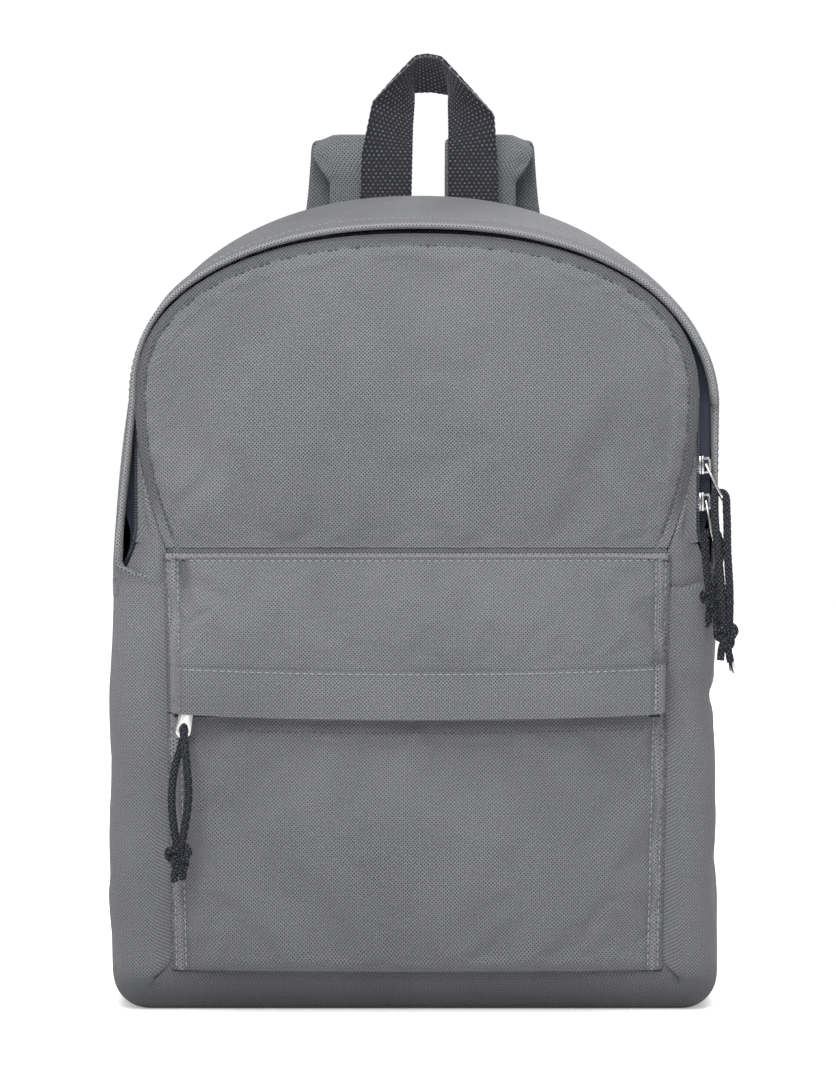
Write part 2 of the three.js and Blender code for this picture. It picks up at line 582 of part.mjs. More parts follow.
function lockShape() {
  const { wide, high, thick } = LOCK;
  const frame = new THREE.Shape();
  frame.moveTo(-wide / 2, -high / 2);
  frame.lineTo(wide / 2, -high / 2);
  frame.lineTo(wide / 2, high / 2);
  frame.lineTo(-wide / 2, high / 2);
  const inner = wide / 2 - LOCK.rail;
  for (const z of [-high / 4 - 0.5, high / 4 + 0.5]) {
    const slot = new THREE.Path();
    slot.moveTo(-inner, z - LOCK.slot / 2);
    slot.lineTo(-inner, z + LOCK.slot / 2);
    slot.lineTo(inner, z + LOCK.slot / 2);
    slot.lineTo(inner, z - LOCK.slot / 2);
    frame.holes.push(slot);
  }
  return plate(frame, -thick / 2, thick / 2);
}

const NARROW = 20;               // width of the adjusting webbing
const NARROW_THICK = 1.5;
const ANCHOR = { x: 122, z: 40 };   // where the adjusting webbing is sewn to the back panel
function ribbon(points, wide) {
  const path = new THREE.CatmullRomCurve3(points, false, 'centripetal');
  return (u, v) => path.getPoint(u).add(at((v - 0.5) * wide, 0, 0));
}

for (const side of [-1, 1]) {
  const hand = side < 0 ? 'left' : 'right';
  const x = (value) => STRAP_X + side * value;
  add(`shoulder_strap_${hand}`, sheet(strapSurface(side), 26, 1, STRAP.thick), 'shell');
  add(`ladder_lock_${hand}`, lockShape(), 'plastic', { position: at(x(LOCK.x), LOCK.y, LOCK.z) });
  const below = LOCK.z - LOCK.high / 2 - GAP;
  const anchor = at(side * ANCHOR.x, BACK_Y + GAP + 3, ANCHOR.z);
  const webbing = [at(x(LOCK.x), LOCK.y - 1, below), at(x(98), 72, 84), anchor];
  add(`strap_webbing_${hand}`, sheet(ribbon(webbing, NARROW), 8, 1, NARROW_THICK), 'webbing');
  const tailTop = at(x(LOCK.x - 2), LOCK.y + 5, below + 2);
  const tail = [tailTop, at(x(LOCK.x - 2), LOCK.y + 6, 90), at(x(LOCK.x - 1), LOCK.y + 5, 62)];
  add(`strap_tail_${hand}`, sheet(ribbon(tail, NARROW), 8, 1, NARROW_THICK), 'webbing');
  const patch = new THREE.Shape();
  patch.moveTo(-side * 18, 16);
  patch.lineTo(side * 17, 16);
  patch.lineTo(side * 17, -12);
  patch.lineTo(0, -12);
  add(`anchor_tab_${hand}`, plate(patch, 0, FABRIC), 'webbing', {
    position: at(side * (ANCHOR.x + 2), BACK_Y + GAP, ANCHOR.z - 16),
  });
}

export default pack;
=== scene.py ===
"""A small grey daypack. Lengths in this script are millimetres, and put() turns them into metres."""
import json
import math

import bmesh
import bpy
import numpy as np
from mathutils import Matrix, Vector

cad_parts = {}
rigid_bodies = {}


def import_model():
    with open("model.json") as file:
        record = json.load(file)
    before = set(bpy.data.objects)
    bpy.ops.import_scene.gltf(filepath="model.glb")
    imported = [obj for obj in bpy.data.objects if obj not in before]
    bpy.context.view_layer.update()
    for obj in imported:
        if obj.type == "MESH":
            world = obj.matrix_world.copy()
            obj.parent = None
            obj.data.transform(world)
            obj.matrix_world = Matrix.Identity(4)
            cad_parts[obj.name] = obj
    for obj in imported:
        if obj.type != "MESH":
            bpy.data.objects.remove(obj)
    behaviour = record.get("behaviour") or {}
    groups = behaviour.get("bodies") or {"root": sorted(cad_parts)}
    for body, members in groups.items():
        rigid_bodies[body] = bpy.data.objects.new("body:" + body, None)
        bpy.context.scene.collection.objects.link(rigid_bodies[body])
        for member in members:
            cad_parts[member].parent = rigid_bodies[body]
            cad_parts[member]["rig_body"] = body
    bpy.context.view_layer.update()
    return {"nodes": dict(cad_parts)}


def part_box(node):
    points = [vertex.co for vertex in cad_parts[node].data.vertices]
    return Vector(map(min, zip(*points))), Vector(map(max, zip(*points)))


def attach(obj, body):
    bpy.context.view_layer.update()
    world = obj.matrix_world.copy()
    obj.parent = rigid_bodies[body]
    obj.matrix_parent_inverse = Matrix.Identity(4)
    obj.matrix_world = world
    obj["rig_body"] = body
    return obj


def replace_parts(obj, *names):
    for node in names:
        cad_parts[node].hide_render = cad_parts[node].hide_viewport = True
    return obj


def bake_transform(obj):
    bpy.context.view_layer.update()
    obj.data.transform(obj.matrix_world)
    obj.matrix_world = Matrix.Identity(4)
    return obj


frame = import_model()
MM = 0.001


def box(node):
    low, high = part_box(node)
    return np.array(low) / MM, np.array(high) / MM


def smooth(x, a, b):
    t = np.clip((np.asarray(x, float) - a) / (b - a), 0, 1)
    return t * t * (3 - 2 * t)


def lerp(a, b, t):
    return a + (b - a) * t


def bell(x, middle, wide):
    """1 at middle, and next to nothing from twice wide away."""
    return np.exp(-((x - middle) / wide) ** 2)


def quarter_sine(share, power):
    """0 to 1 as share goes from 0 to 1, steep at first and level at the end."""
    return np.sin(np.pi / 2 * np.clip(share, 0, 1)) ** power


def signed_power(x, power):
    return np.sign(x) * np.abs(x) ** power


def unit(vectors):
    return vectors / np.linalg.norm(vectors, axis=-1, keepdims=True)


def lengths_along(path):
    """The length from the path's start to each of its points."""
    return np.concatenate([[0], np.cumsum(np.linalg.norm(np.diff(path, axis=0), axis=1))])


def between(places, knots, rows):
    """Rows of three numbers given at knots, filled in at places."""
    return np.stack([np.interp(places, knots, rows[:, k]) for k in range(3)], axis=1)


def sheet(x, y, z):
    """A grid of points from three arrays that broadcast together."""
    return np.stack(np.broadcast_arrays(x, y, z), axis=-1).astype(float)


def placed(name, data):
    """A new object, linked into the scene."""
    thing = bpy.data.objects.new(name, data)
    bpy.context.scene.collection.objects.link(thing)
    return thing


# ---- places read from the frame ----
FRONT_Y = box("front_panel_lower")[0][1]
BACK_Y = box("back_panel")[1][1]
TOP_Z = box("back_panel")[1][2]
BACK_HALF = box("back_panel")[1][0]
FOLD_Z = box("front_panel_lower")[1][2] + 0.4
LID_FRONT = FRONT_Y - 0.8
ARCH_Z = 300.0
BASE_RADIUS = 17.0
FRONT_RISE = 85.0
ZIP_HALF, ZIP_RISE, ZIP_POWER, ZIP_Y = 136.5, 80.0, 2.3, -50.0
POCKET_HALF = box("pocket_panel_upper")[1][0] - 0.7
ZIP_LINE_Z = box("pocket_zip_tape_upper")[0][2] - 0.6
SEAM_Z, FLAP_Z = box("pocket_zip_flap")[1][2], box("pocket_zip_flap")[0][2]
SIDES = ((-1, "left"), (1, "right"))
FORWARD, BACKWARD = (0, -1.0, 0), (0, 1.0, 0)


# ---- camera ----
def make_camera():
    """Level and square to the front, where its picture is frame_high tall."""
    camera = placed("camera", bpy.data.cameras.new("camera"))
    lens, sensor, frame_high = 135.0, 36.0, 527.0
    middle_x, middle_z = 0.5, 230.3
    camera.data.lens = lens
    camera.location = Vector((middle_x, FRONT_Y - frame_high * lens / sensor, middle_z)) * MM
    camera.rotation_euler = (math.pi / 2, 0, 0)
    camera.data.clip_end = 50
    bpy.context.scene.camera = camera


make_camera()


# ---- node materials ----
class Nodes:
    """Short names for building one node tree."""

    def __init__(self, name):
        self.material = bpy.data.materials.new(name)
        self.material.use_nodes = True
        self.tree = self.material.node_tree
        self.shader = next(n for n in self.tree.nodes if n.type == "BSDF_PRINCIPLED")

    def new(self, kind, **inputs):
        node = self.tree.nodes.new(kind)
        for key, value in inputs.items():
            self.feed(node.inputs[key], value)
        return node

    def feed(self, socket, value):
        if isinstance(value, bpy.types.NodeSocket):
            self.tree.links.new(value, socket)
        else:
            socket.default_value = value

    def surface(self, socket, value):
        """Feeds one of the shader's own sockets."""
        self.feed(self.shader.inputs[socket], value)

    def math(self, operation, a, b=0.0, c=0.0):
        node = self.tree.nodes.new("ShaderNodeMath")
        node.operation = operation
        for socket, value in zip(node.inputs, (a, b, c)):
            self.feed(socket, value)
        return node.outputs[0]

    def cosine(self, value, period):
        return self.math("COSINE", self.math("MULTIPLY", value, 2 * math.pi / period))

    def map_range(self, value, low, high, to_low=0.0, to_high=1.0):
        node = self.tree.nodes.new("ShaderNodeMapRange")
        for socket, number in zip(node.inputs[:5], (value, low, high, to_low, to_high)):
            self.feed(socket, number)
        return node.outputs[0]

    def noise(self, vector, scale, detail=2.0, roughness=0.5):
        node = self.new("ShaderNodeTexNoise", Vector=vector, Scale=scale, Detail=detail, Roughness=roughness)
        return node.outputs["Fac"]

    def mix(self, factor, a, b):
        node = self.tree.nodes.new("ShaderNodeMix")
        node.data_type = "RGBA"
        self.feed(node.inputs[0], factor)
        for place, colour in ((6, a), (7, b)):
            linked = isinstance(colour, bpy.types.NodeSocket)
            self.feed(node.inputs[place], colour if linked else (*colour, 1))
        return node.outputs[2]

    def bump(self, height, strength, distance):
        node = self.new("ShaderNodeBump", Height=height, Strength=strength, Distance=distance)
        self.tree.links.new(node.outputs[0], self.shader.inputs["Normal"])

    def uv(self):
        node = self.tree.nodes.new("ShaderNodeUVMap")
        node.uv_map = "cloth"
        split = self.new("ShaderNodeSeparateXYZ", Vector=node.outputs[0])
        return node.outputs[0], split.outputs[0], split.outputs[1]

    def attribute(self, name):
        node = self.tree.nodes.new("ShaderNodeAttribute")
        node.attribute_name = name
        return node.outputs["Fac"]

    def place(self):
        return self.tree.nodes.new("ShaderNodeTexCoord").outputs["Object"]


def grey(value):
    """A display grey, 0 to 255, or three of them, as linear light."""
    value = np.broadcast_to(np.asarray(value, float), (3,)) / 255
    return tuple(np.where(value < 0.04045, value / 12.92, ((value + 0.055) / 1.055) ** 2.4))


def woven(name, light, dark, hole, spacing, rib, depth, sheen=0.25):
    """Woven cloth: fine ribs one way, staggered pinholes between the threads, and flecked yarn.

    It has painted shade: darker near the floor, and darker still at the base's corners."""
    floor_painted_shade, base_painted_shade, painted_highlight = 0.8, 0.5, grey(190)
    light, dark, hole = grey(light), grey(dark), grey(hole)
    n = Nodes(name)
    vector, u, v = n.uv()
    across = n.cosine(u, spacing)
    along = n.cosine(v, spacing)
    holes = n.map_range(n.math("MULTIPLY", across, along), 0.1, 0.75)
    ribs = n.cosine(u, rib)
    threads = n.cosine(v, rib * 1.15)
    fleck = n.noise(vector, 1 / (rib * 1.6), 3.0, 0.7)
    cloudy = n.noise(n.place(), 14.0, 3.0)
    tone = n.math("ADD", n.math("MULTIPLY", fleck, 0.75), n.math("MULTIPLY", cloudy, 0.25))
    tone = n.math("ADD", tone, n.math("MULTIPLY", ribs, 0.07))
    cloth = n.mix(n.map_range(tone, 0.32, 0.68), dark, light)
    height_up = n.new("ShaderNodeSeparateXYZ", Vector=n.place()).outputs[2]
    # Painted shade: darker toward the floor, and darker again in the lowest 24 mm of the cloth.
    cloth = n.mix(n.map_range(height_up, 0.0, 0.2, floor_painted_shade, 1.0), hole, cloth)
    cloth = n.mix(n.map_range(height_up, 0.006, 0.024, base_painted_shade, 1.0), hole, cloth)
    # Painted shade where the shade attribute is above 0, and a painted highlight toward a light grey where
    # it is below.
    shade = n.attribute("shade")
    cloth = n.mix(n.math("MAXIMUM", shade, 0.0), cloth, hole)
    cloth = n.mix(n.math("MAXIMUM", n.math("MULTIPLY", shade, -1.0), 0.0), cloth, painted_highlight)
    n.surface("Base Color", n.mix(n.math("MULTIPLY", holes, 0.9), cloth, hole))
    weave = n.math("MULTIPLY", n.math("ADD", ribs, n.math("MULTIPLY", threads, 0.6)), 0.25)
    height = n.math("SUBTRACT", n.math("ADD", weave, n.math("MULTIPLY", fleck, 0.4)), holes)
    n.bump(height, 0.55, depth)
    n.surface("Roughness", n.map_range(fleck, 0.0, 1.0, 0.78, 0.95))
    n.surface("Sheen Weight", sheen)
    n.surface("Sheen Roughness", 0.5)
    n.surface("Specular IOR Level", 0.25)
    return n.material


def belt(name, light, dark, along, across, depth):
    """Heavy webbing: rows of raised picks, each with a light fleck, staggered row by row."""
    light, dark = grey(light), grey(dark)
    n = Nodes(name)
    vector, u, v = n.uv()
    picks = n.math("MULTIPLY", n.cosine(u, along), n.cosine(v, across))
    picks = n.math("MULTIPLY", picks, n.map_range(n.cosine(u, along / 2), -0.3, 0.8))
    raised = n.map_range(picks, 0.1, 0.9)
    fleck = n.noise(vector, 1.2 / across, 2.0, 0.6)
    bright = n.math("MULTIPLY", raised, n.map_range(fleck, 0.3, 0.75))
    n.surface("Base Color", n.mix(bright, dark, light))
    n.bump(n.math("ADD", raised, n.math("MULTIPLY", fleck, 0.3)), 0.8, depth)
    n.surface("Roughness", 0.8)
    n.surface("Sheen Weight", 0.2)
    n.surface("Specular IOR Level", 0.3)
    return n.material


def metal():
    n = Nodes("nickel_plate")
    place = n.place()
    blotch = n.noise(place, 180.0, 2.0)
    n.surface("Base Color", n.mix(blotch, grey(176), grey(226)))
    n.surface("Roughness", n.map_range(blotch, 0.3, 0.7, 0.16, 0.3))
    n.surface("Metallic", 1.0)
    n.bump(n.noise(place, 4200.0, 2.0), 0.04, 0.0001)
    return n.material


def moulded(name, dark, light, scale, roughness, depth):
    """A plain surface with a fine grain that mottles its colour and its gloss."""
    dark, light = grey(dark), grey(light)
    n = Nodes(name)
    grain = n.noise(n.place(), scale, 3.0)
    n.surface("Base Color", n.mix(grain, dark, light))
    n.surface("Roughness", n.map_range(grain, 0.2, 0.8, roughness - 0.08, roughness + 0.08))
    n.bump(grain, 0.2, depth)
    return n.material


def braid():
    n = Nodes("braided_cord")
    vector, u, v = n.uv()
    strand = 0.0022
    strands = n.math("MULTIPLY", n.cosine(u, strand), n.cosine(v, strand))
    fibre = n.noise(vector, 1800.0, 3.0, 0.7)
    tone = n.math("ADD", n.math("MULTIPLY", strands, 0.4), n.math("MULTIPLY", fibre, 0.8))
    tone_share = n.map_range(tone, 0.48, 0.9)
    n.surface("Base Color", n.mix(tone_share, grey((10, 11, 15)), grey((86, 89, 102))))
    n.bump(tone, 0.6, 0.0003)
    n.surface("Roughness", 0.8)
    n.surface("Specular IOR Level", 0.25)
    n.surface("Sheen Weight", 0.05)
    return n.material


SHELL = woven("shell_cloth", (124, 125, 127), (88, 89, 92), (26, 27, 31), 0.0018, 0.0006, 0.0005, 0.12)
STRAP_CLOTH = woven("strap_cloth", (118, 120, 123), (82, 84, 88), (26, 28, 33), 0.0021, 0.0007, 0.0005, 0.12)
LINING = woven("lining_cloth", (84, 86, 90), (64, 66, 70), (38, 39, 43), 0.0013, 0.0005, 0.0001)
TAPE = woven("zip_tape_cloth", (66, 69, 84), (48, 51, 64), (20, 21, 26), 0.0012, 0.0005, 0.0002)
WEBBING = belt("webbing_weave", (140, 143, 152), (22, 23, 30), 0.0038, 0.0024, 0.0008)
NICKEL = metal()
COIL = moulded("zip_coil_nylon", (50, 52, 62), (86, 89, 102), 900.0, 0.42, 0.0001)
PLASTIC = moulded("buckle_acetal", (20, 20, 23), (34, 34, 38), 1200.0, 0.45, 0.0001)
FOAM = moulded("foam_cells", (52, 52, 54), (78, 78, 80), 1500.0, 0.9, 0.0004)
CORD = braid()
THREAD_LIGHT = moulded("thread_light", (112, 114, 117), (140, 142, 145), 3000.0, 0.75, 0.0001)
THREAD_DARK = moulded("thread_dark", (50, 52, 58), (80, 82, 88), 3000.0, 0.75, 0.0001)


# ---- meshes ----
def put(name, points, faces, material, body, uv=None, shade=None, lap=0.0):
    """lap is the length round a cloth that joins up with its own start."""
    mesh = bpy.data.meshes.new(name)
    mesh.from_pydata((np.asarray(points) * MM).tolist(), [], [list(map(int, f)) for f in faces])
    mesh.materials.append(material)
    mesh.polygons.foreach_set("use_smooth", [True] * len(mesh.polygons))
    if uv is not None:
        layer = mesh.uv_layers.new(name="cloth")
        corners = np.empty(len(mesh.loops), int)
        mesh.loops.foreach_get("vertex_index", corners)
        place = np.asarray(uv)[corners]
        if lap:
            firsts = np.empty(len(mesh.polygons), int)
            mesh.polygons.foreach_get("loop_start", firsts)
            farthest = np.maximum.reduceat(place[:, 0], firsts)
            face = np.searchsorted(firsts, np.arange(len(corners)), side="right") - 1
            place[farthest[face] - place[:, 0] > lap / 2, 0] += lap
        layer.data.foreach_set("uv", (place * MM).ravel())
    if shade is not None:
        shades = mesh.attributes.new("shade", "FLOAT", "POINT")
        shades.data.foreach_set("value", np.ravel(shade).astype(float))
    mesh.validate()
    piece = placed(name, mesh)
    if body:
        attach(piece, body)
    return piece


def normals_of(grid, closed=False):
    if closed:
        du = (np.roll(grid, -1, axis=0) - np.roll(grid, 1, axis=0)) / 2
    else:
        du = np.gradient(grid, axis=0)
    n = np.cross(du, np.gradient(grid, axis=1))
    return n / np.maximum(np.linalg.norm(n, axis=2, keepdims=True), 1e-9)


def lengths_uv(grid):
    """Cloth coordinates: lengths along the middle column one way and along each row the other."""
    nu, nv = grid.shape[:2]
    u = lengths_along(grid[:, nv // 2])
    v = np.zeros((nu, nv))
    v[:, :-1] = np.cumsum(np.linalg.norm(np.diff(grid, axis=1), axis=2)[:, ::-1], axis=1)[:, ::-1]
    return np.stack([np.broadcast_to(u[:, None], (nu, nv)), v], axis=2)


def cloth(name, grid, thick, material, body, uv=None, closed=False, shade=None):
    """A closed sheet from a grid of its middle surface. closed joins the last row to the first.

    shade paints shade onto the cloth where it is above 0, and a painted highlight where it is below."""
    nu, nv = grid.shape[:2]
    normal = normals_of(grid, closed)
    thick = np.broadcast_to(np.asarray(thick, float), (nu, nv))[..., None]
    uv = lengths_uv(grid) if uv is None else uv
    points = np.concatenate([(grid + normal * away / 2).reshape(-1, 3) for away in (thick, -thick)])
    at = np.arange(nu * nv).reshape(nu, nv)
    if closed:
        at = np.concatenate([at, at[:1]])
    top = np.stack([at[:-1, :-1], at[1:, :-1], at[1:, 1:], at[:-1, 1:]], axis=-1).reshape(-1, 4)
    faces = [top, top[:, ::-1] + nu * nv]
    rims = [at[:, 0][::-1], at[:, -1]]
    if not closed:
        rims += [at[0], at[-1][::-1]]
    for rim in rims:
        faces.append(np.stack([rim[:-1], rim[1:], rim[1:] + nu * nv, rim[:-1] + nu * nv], axis=-1)[:, ::-1])
    shade = None if shade is None else np.concatenate([np.broadcast_to(shade, (nu, nv)).ravel()] * 2)
    lap = uv[-1, 0, 0] + uv[1, 0, 0] - uv[0, 0, 0] if closed else 0.0
    uv = np.concatenate([uv.reshape(-1, 2)] * 2)
    return put(name, points, np.concatenate(faces), material, body, uv, shade, lap)


def panel(name, grid, thick, material, body, **options):
    """A cloth whose threads run level and upright, as seen from the front."""
    return cloth(name, grid, thick, material, body, uv=grid[..., [0, 2]], **options)


def curve_through(points, count):
    """Points evenly spaced along a smooth curve through the given ones."""
    points = np.asarray(points, float)
    ends = np.concatenate([[2 * points[0] - points[1]], points, [2 * points[-1] - points[-2]]])
    knots = np.concatenate([[0], np.cumsum(np.linalg.norm(np.diff(ends, axis=0), axis=1) ** 0.5)])
    fine = []
    for i in range(1, len(ends) - 2):
        p0, p1, p2, p3 = ends[i - 1:i + 3]
        t0, t1, t2, t3 = knots[i - 1:i + 3]
        t = np.linspace(t1, t2, 24, endpoint=False)[:, None]
        a1 = (t1 - t) / (t1 - t0) * p0 + (t - t0) / (t1 - t0) * p1
        a2 = (t2 - t) / (t2 - t1) * p1 + (t - t1) / (t2 - t1) * p2
        a3 = (t3 - t) / (t3 - t2) * p2 + (t - t2) / (t3 - t2) * p3
        b1 = (t2 - t) / (t2 - t0) * a1 + (t - t0) / (t2 - t0) * a2
        b2 = (t3 - t) / (t3 - t1) * a2 + (t - t1) / (t3 - t1) * a3
        fine.append((t2 - t) / (t2 - t1) * b1 + (t - t1) / (t2 - t1) * b2)
    fine = np.concatenate(fine + [points[-1:]])
    return evenly(fine, count)


def evenly(path, count):
    reach = lengths_along(path)
    return between(np.linspace(0, reach[-1], count), reach, path)


def softened(path, span):
    """The path with its corners rounded over span points, its ends kept."""
    kernel = np.hanning(span + 2)[1:-1]
    kernel /= kernel.sum()
    pad = span // 2
    start = 2 * path[:1] - path[pad:0:-1]
    end = 2 * path[-1:] - path[-2:-pad - 2:-1]
    padded = np.concatenate([start, path, end])
    return np.stack([np.convolve(padded[:, k], kernel, mode="valid") for k in range(3)], axis=1)


def path_length(path):
    return float(np.linalg.norm(np.diff(path, axis=0), axis=1).sum())


def side_frames(path):
    """Two directions across the path at each point, carried along it without twist."""
    tangent = unit(np.gradient(path, axis=0))
    side = np.cross(tangent[0], [0.3, 0.2, 1.0])
    sides = []
    for t in tangent:
        side = unit(side - t * np.dot(side, t))
        sides.append(side)
    sides = np.array(sides)
    return sides, np.cross(tangent, sides)


def ring_of(turn, a, b):
    """A circle in the plane of a and b."""
    return np.cos(turn)[:, None] * a + np.sin(turn)[:, None] * b


def tube_faces(count, around):
    """The side faces of a tube of rings, and the numbers of its points and of the next ones round."""
    at = np.arange(count * around).reshape(count, around)
    following = np.roll(at, -1, axis=1)
    quads = np.stack([at[:-1], following[:-1], following[1:], at[1:]], axis=-1)
    return quads.reshape(-1, 4).tolist(), at, following


def capped_tube(count, around):
    faces, at, _ = tube_faces(count, around)
    return faces + [at[0][::-1].tolist(), at[-1].tolist()]


def rope(name, path, radius, material, body, around=32, braided=0.0, lay=4.4, shade=0.0):
    """A round tube with its ends closed. braided raises crossing strands on its surface."""
    a, b = side_frames(path)
    turn = np.linspace(0, 2 * np.pi, around, endpoint=False)
    reach = lengths_along(path)
    lean = reach[:, None] * 2 * np.pi / lay
    one, two = turn * 4 + lean, turn * 4 - lean
    r = np.broadcast_to(np.asarray(radius, float).reshape(-1, 1), (len(path), 1))
    r = r * (1 - braided + braided * np.maximum(np.cos(one), np.cos(two)))
    rings = path[:, None] + r[..., None] * ring_of(turn, a[:, None], b[:, None])
    points = np.concatenate([rings.reshape(-1, 3), path[:1], path[-1:]])
    faces, at, following = tube_faces(len(path), around)
    first, last = at.size, at.size + 1
    faces += [[following[0, k], at[0, k], first] for k in range(around)]
    faces += [[at[-1, k], following[-1, k], last] for k in range(around)]
    uv = np.stack(np.meshgrid(reach, turn * np.mean(radius), indexing="ij"), axis=2).reshape(-1, 2)
    uv = np.concatenate([uv, [[0, 0], [0, 0]]])
    return put(name, points, faces, material, body, uv, np.full(len(points), shade))


def merge_pieces(name, parts, material, body):
    """One piece from many (points, faces) pairs."""
    points, faces, start = [], [], 0
    for p, f in parts:
        points.append(p)
        faces += [[i + start for i in face] for face in f]
        start += len(p)
    points = np.concatenate(points)
    return put(name, points, faces, material, body, points[:, [0, 2]])


def stitches(name, path, outward, material, body, long=2.9, pitch=3.6, radius=0.36):
    """Separate thread stitches laid along a path on a surface that faces outward."""
    rings, around, sink = 5, 6, 0.1
    count = max(int(path_length(path) / pitch), 1)
    stations = evenly(path, count * 8 + 1)
    outward = np.broadcast_to(outward, path.shape)
    faced = between(np.linspace(0, 1, len(stations)), np.linspace(0, 1, len(path)), outward)
    parts = []
    share = np.linspace(-0.5, 0.5, rings)
    swell = np.array([0.25, 0.9, 1.0, 0.9, 0.25])
    turn = np.linspace(0, 2 * np.pi, around, endpoint=False)
    for i in range(count):
        m = 8 * i + 4
        direction = unit(stations[m + 1] - stations[m - 1])
        up = unit(faced[m] - direction * np.dot(faced[m], direction))
        lift = radius * (0.6 - 2.4 * share ** 2 * 2) - sink
        centre = stations[m] + direction * long * share[:, None] + up * lift[:, None]
        ring = ring_of(turn, np.cross(direction, up), up)
        points = (centre[:, None] + radius * swell[:, None, None] * ring).reshape(-1, 3)
        parts.append((points, capped_tube(rings, around)))
    return merge_pieces(name, parts, material, body)


SETTLING_FRAMES = 20


def settle(grid, pinned, pressure, slack, cap):
    """Lets a sheet billow in Blender's cloth solver, held where pinned is 1, and returns its new shape."""
    coarse = grid[::2, ::2]
    nu, nv = coarse.shape[:2]
    at = np.arange(nu * nv).reshape(nu, nv)
    faces = np.stack([at[:-1, :-1], at[1:, :-1], at[1:, 1:], at[:-1, 1:]], axis=-1).reshape(-1, 4)
    mesh = bpy.data.meshes.new("settling")
    mesh.from_pydata((coarse.reshape(-1, 3) * MM).tolist(), [], faces.tolist())
    scene = bpy.context.scene
    held_sheet = placed("settling", mesh)
    group = held_sheet.vertex_groups.new(name="held")
    for i, weight in enumerate(pinned[::2, ::2].reshape(-1)):
        group.add([i], float(weight), "REPLACE")
    solver = held_sheet.modifiers.new("solver", "CLOTH")
    settings = solver.settings
    settings.quality = 6
    settings.mass = 0.25
    settings.tension_stiffness = settings.compression_stiffness = 30
    settings.shear_stiffness = 12
    settings.bending_stiffness = 1.2
    settings.vertex_group_mass = "held"
    settings.shrink_min = -slack
    settings.use_pressure = True
    settings.uniform_pressure_force = pressure
    settings.effector_weights.gravity = 0
    solver.point_cache.frame_start, solver.point_cache.frame_end = 1, SETTLING_FRAMES
    for frame_number in range(1, SETTLING_FRAMES + 1):
        scene.frame_set(frame_number)
    shaped = held_sheet.evaluated_get(bpy.context.evaluated_depsgraph_get())
    moved = np.empty(nu * nv * 3)
    shaped.data.vertices.foreach_get("co", moved)
    shift = moved.reshape(nu, nv, 3) / MM - coarse
    reach = np.linalg.norm(shift, axis=2, keepdims=True)
    shift *= np.minimum(1, cap / np.maximum(reach, 1e-6))
    bpy.data.objects.remove(held_sheet)
    scene.frame_set(1)
    return grid + spread_out(shift, grid.shape[:2])


def spread_out(field, shape):
    """A field given on every second row and column, filled in between."""
    rows = np.clip(np.arange(shape[0]) / 2, 0, field.shape[0] - 1)
    cols = np.clip(np.arange(shape[1]) / 2, 0, field.shape[1] - 1)
    r0, c0 = np.floor(rows).astype(int), np.floor(cols).astype(int)
    r1, c1 = np.minimum(r0 + 1, field.shape[0] - 1), np.minimum(c0 + 1, field.shape[1] - 1)
    fr, fc = (rows - r0)[:, None, None], (cols - c0)[None, :, None]
    near = field[r0][:, c0] * (1 - fc) + field[r0][:, c1] * fc
    far = field[r1][:, c0] * (1 - fc) + field[r1][:, c1] * fc
    return near * (1 - fr) + far * fr


def border_pins(shape, border):
    """1 on the outer rows and columns of a grid, falling to 0 at border rows inside."""
    i, j = (np.minimum(np.arange(count), np.arange(count)[::-1]) for count in shape[:2])
    return np.clip(np.maximum(1 - i[:, None] / border, 1 - j[None] / border) * 2, 0, 1)


# ---- pull cords, on the routes that their solids follow ----
CORD_WIDE = 4.0
PULLS = {
    "lower": dict(
        body="pull_lower", nodes=("pull_cord_lower", "pull_knot_lower"),
        centre=(143.5, -65.6, 202), size=1.55, fray=3.0,
        tail=[(142.6, -65, 197), (141.8, -64.4, 190)], twin=[(145.2, -66, 197), (145.8, -67, 187)],
        route=[
            (143.9, -65.6, 203), (144.8, -65.4, 207.2), (146.8, -62.5, 216), (148.3, -56, 226),
            (147, -50.8, 233.5), (144.3, -50, 234.2), (141.7, -50.8, 233.6), (141, -54.5, 228),
            (141.2, -60, 219), (142.2, -64.8, 207.2), (143.1, -65.4, 203),
        ]),
    "upper": dict(
        body="pull_upper", nodes=("pull_cord_upper", "pull_knot_upper"),
        centre=(150, -72.2, 184), size=1.7, fray=6.0,
        tail=[(150.8, -72, 178), (152.2, -71.6, 171)], twin=[(147.8, -72.4, 178), (147.2, -72, 172)],
        route=[
            (150.6, -72.2, 185), (151.4, -72, 189.2), (151.6, -72.4, 205), (151, -67, 225),
            (151.4, -57, 243), (150.8, -50.8, 252.8), (148.5, -50, 253.6), (146.4, -50.8, 253.8),
            (145.6, -55.8, 249.5), (145.2, -64, 240), (146.2, -70, 224), (147.8, -72.4, 205),
            (148.9, -72.4, 189.2), (149.6, -72.3, 185),
        ]),
    "pocket": dict(
        body="pocket_pull", nodes=("pocket_pull_cord", "pocket_pull_knot"),
        centre=(-114.7, -84.8, 77.6), size=1.95, fray=1.2,
        tail=[(-116.4, -84.6, 71), (-117, -84.4, 66)], twin=[(-113, -84.8, 71), (-112.8, -84.6, 66.5)],
        route=[
            (-115.2, -84.7, 79), (-115.9, -84.6, 83.2), (-118.2, -84.6, 103), (-117, -80.6, 120),
            (-113.8, -74, 132), (-113.1, -73.2, 137.5), (-113, -75.6, 138.8), (-112.9, -78.1, 137.5),
            (-111.6, -83.3, 127), (-110, -86, 107), (-113.3, -85, 84), (-114.2, -84.9, 79),
        ]),
}


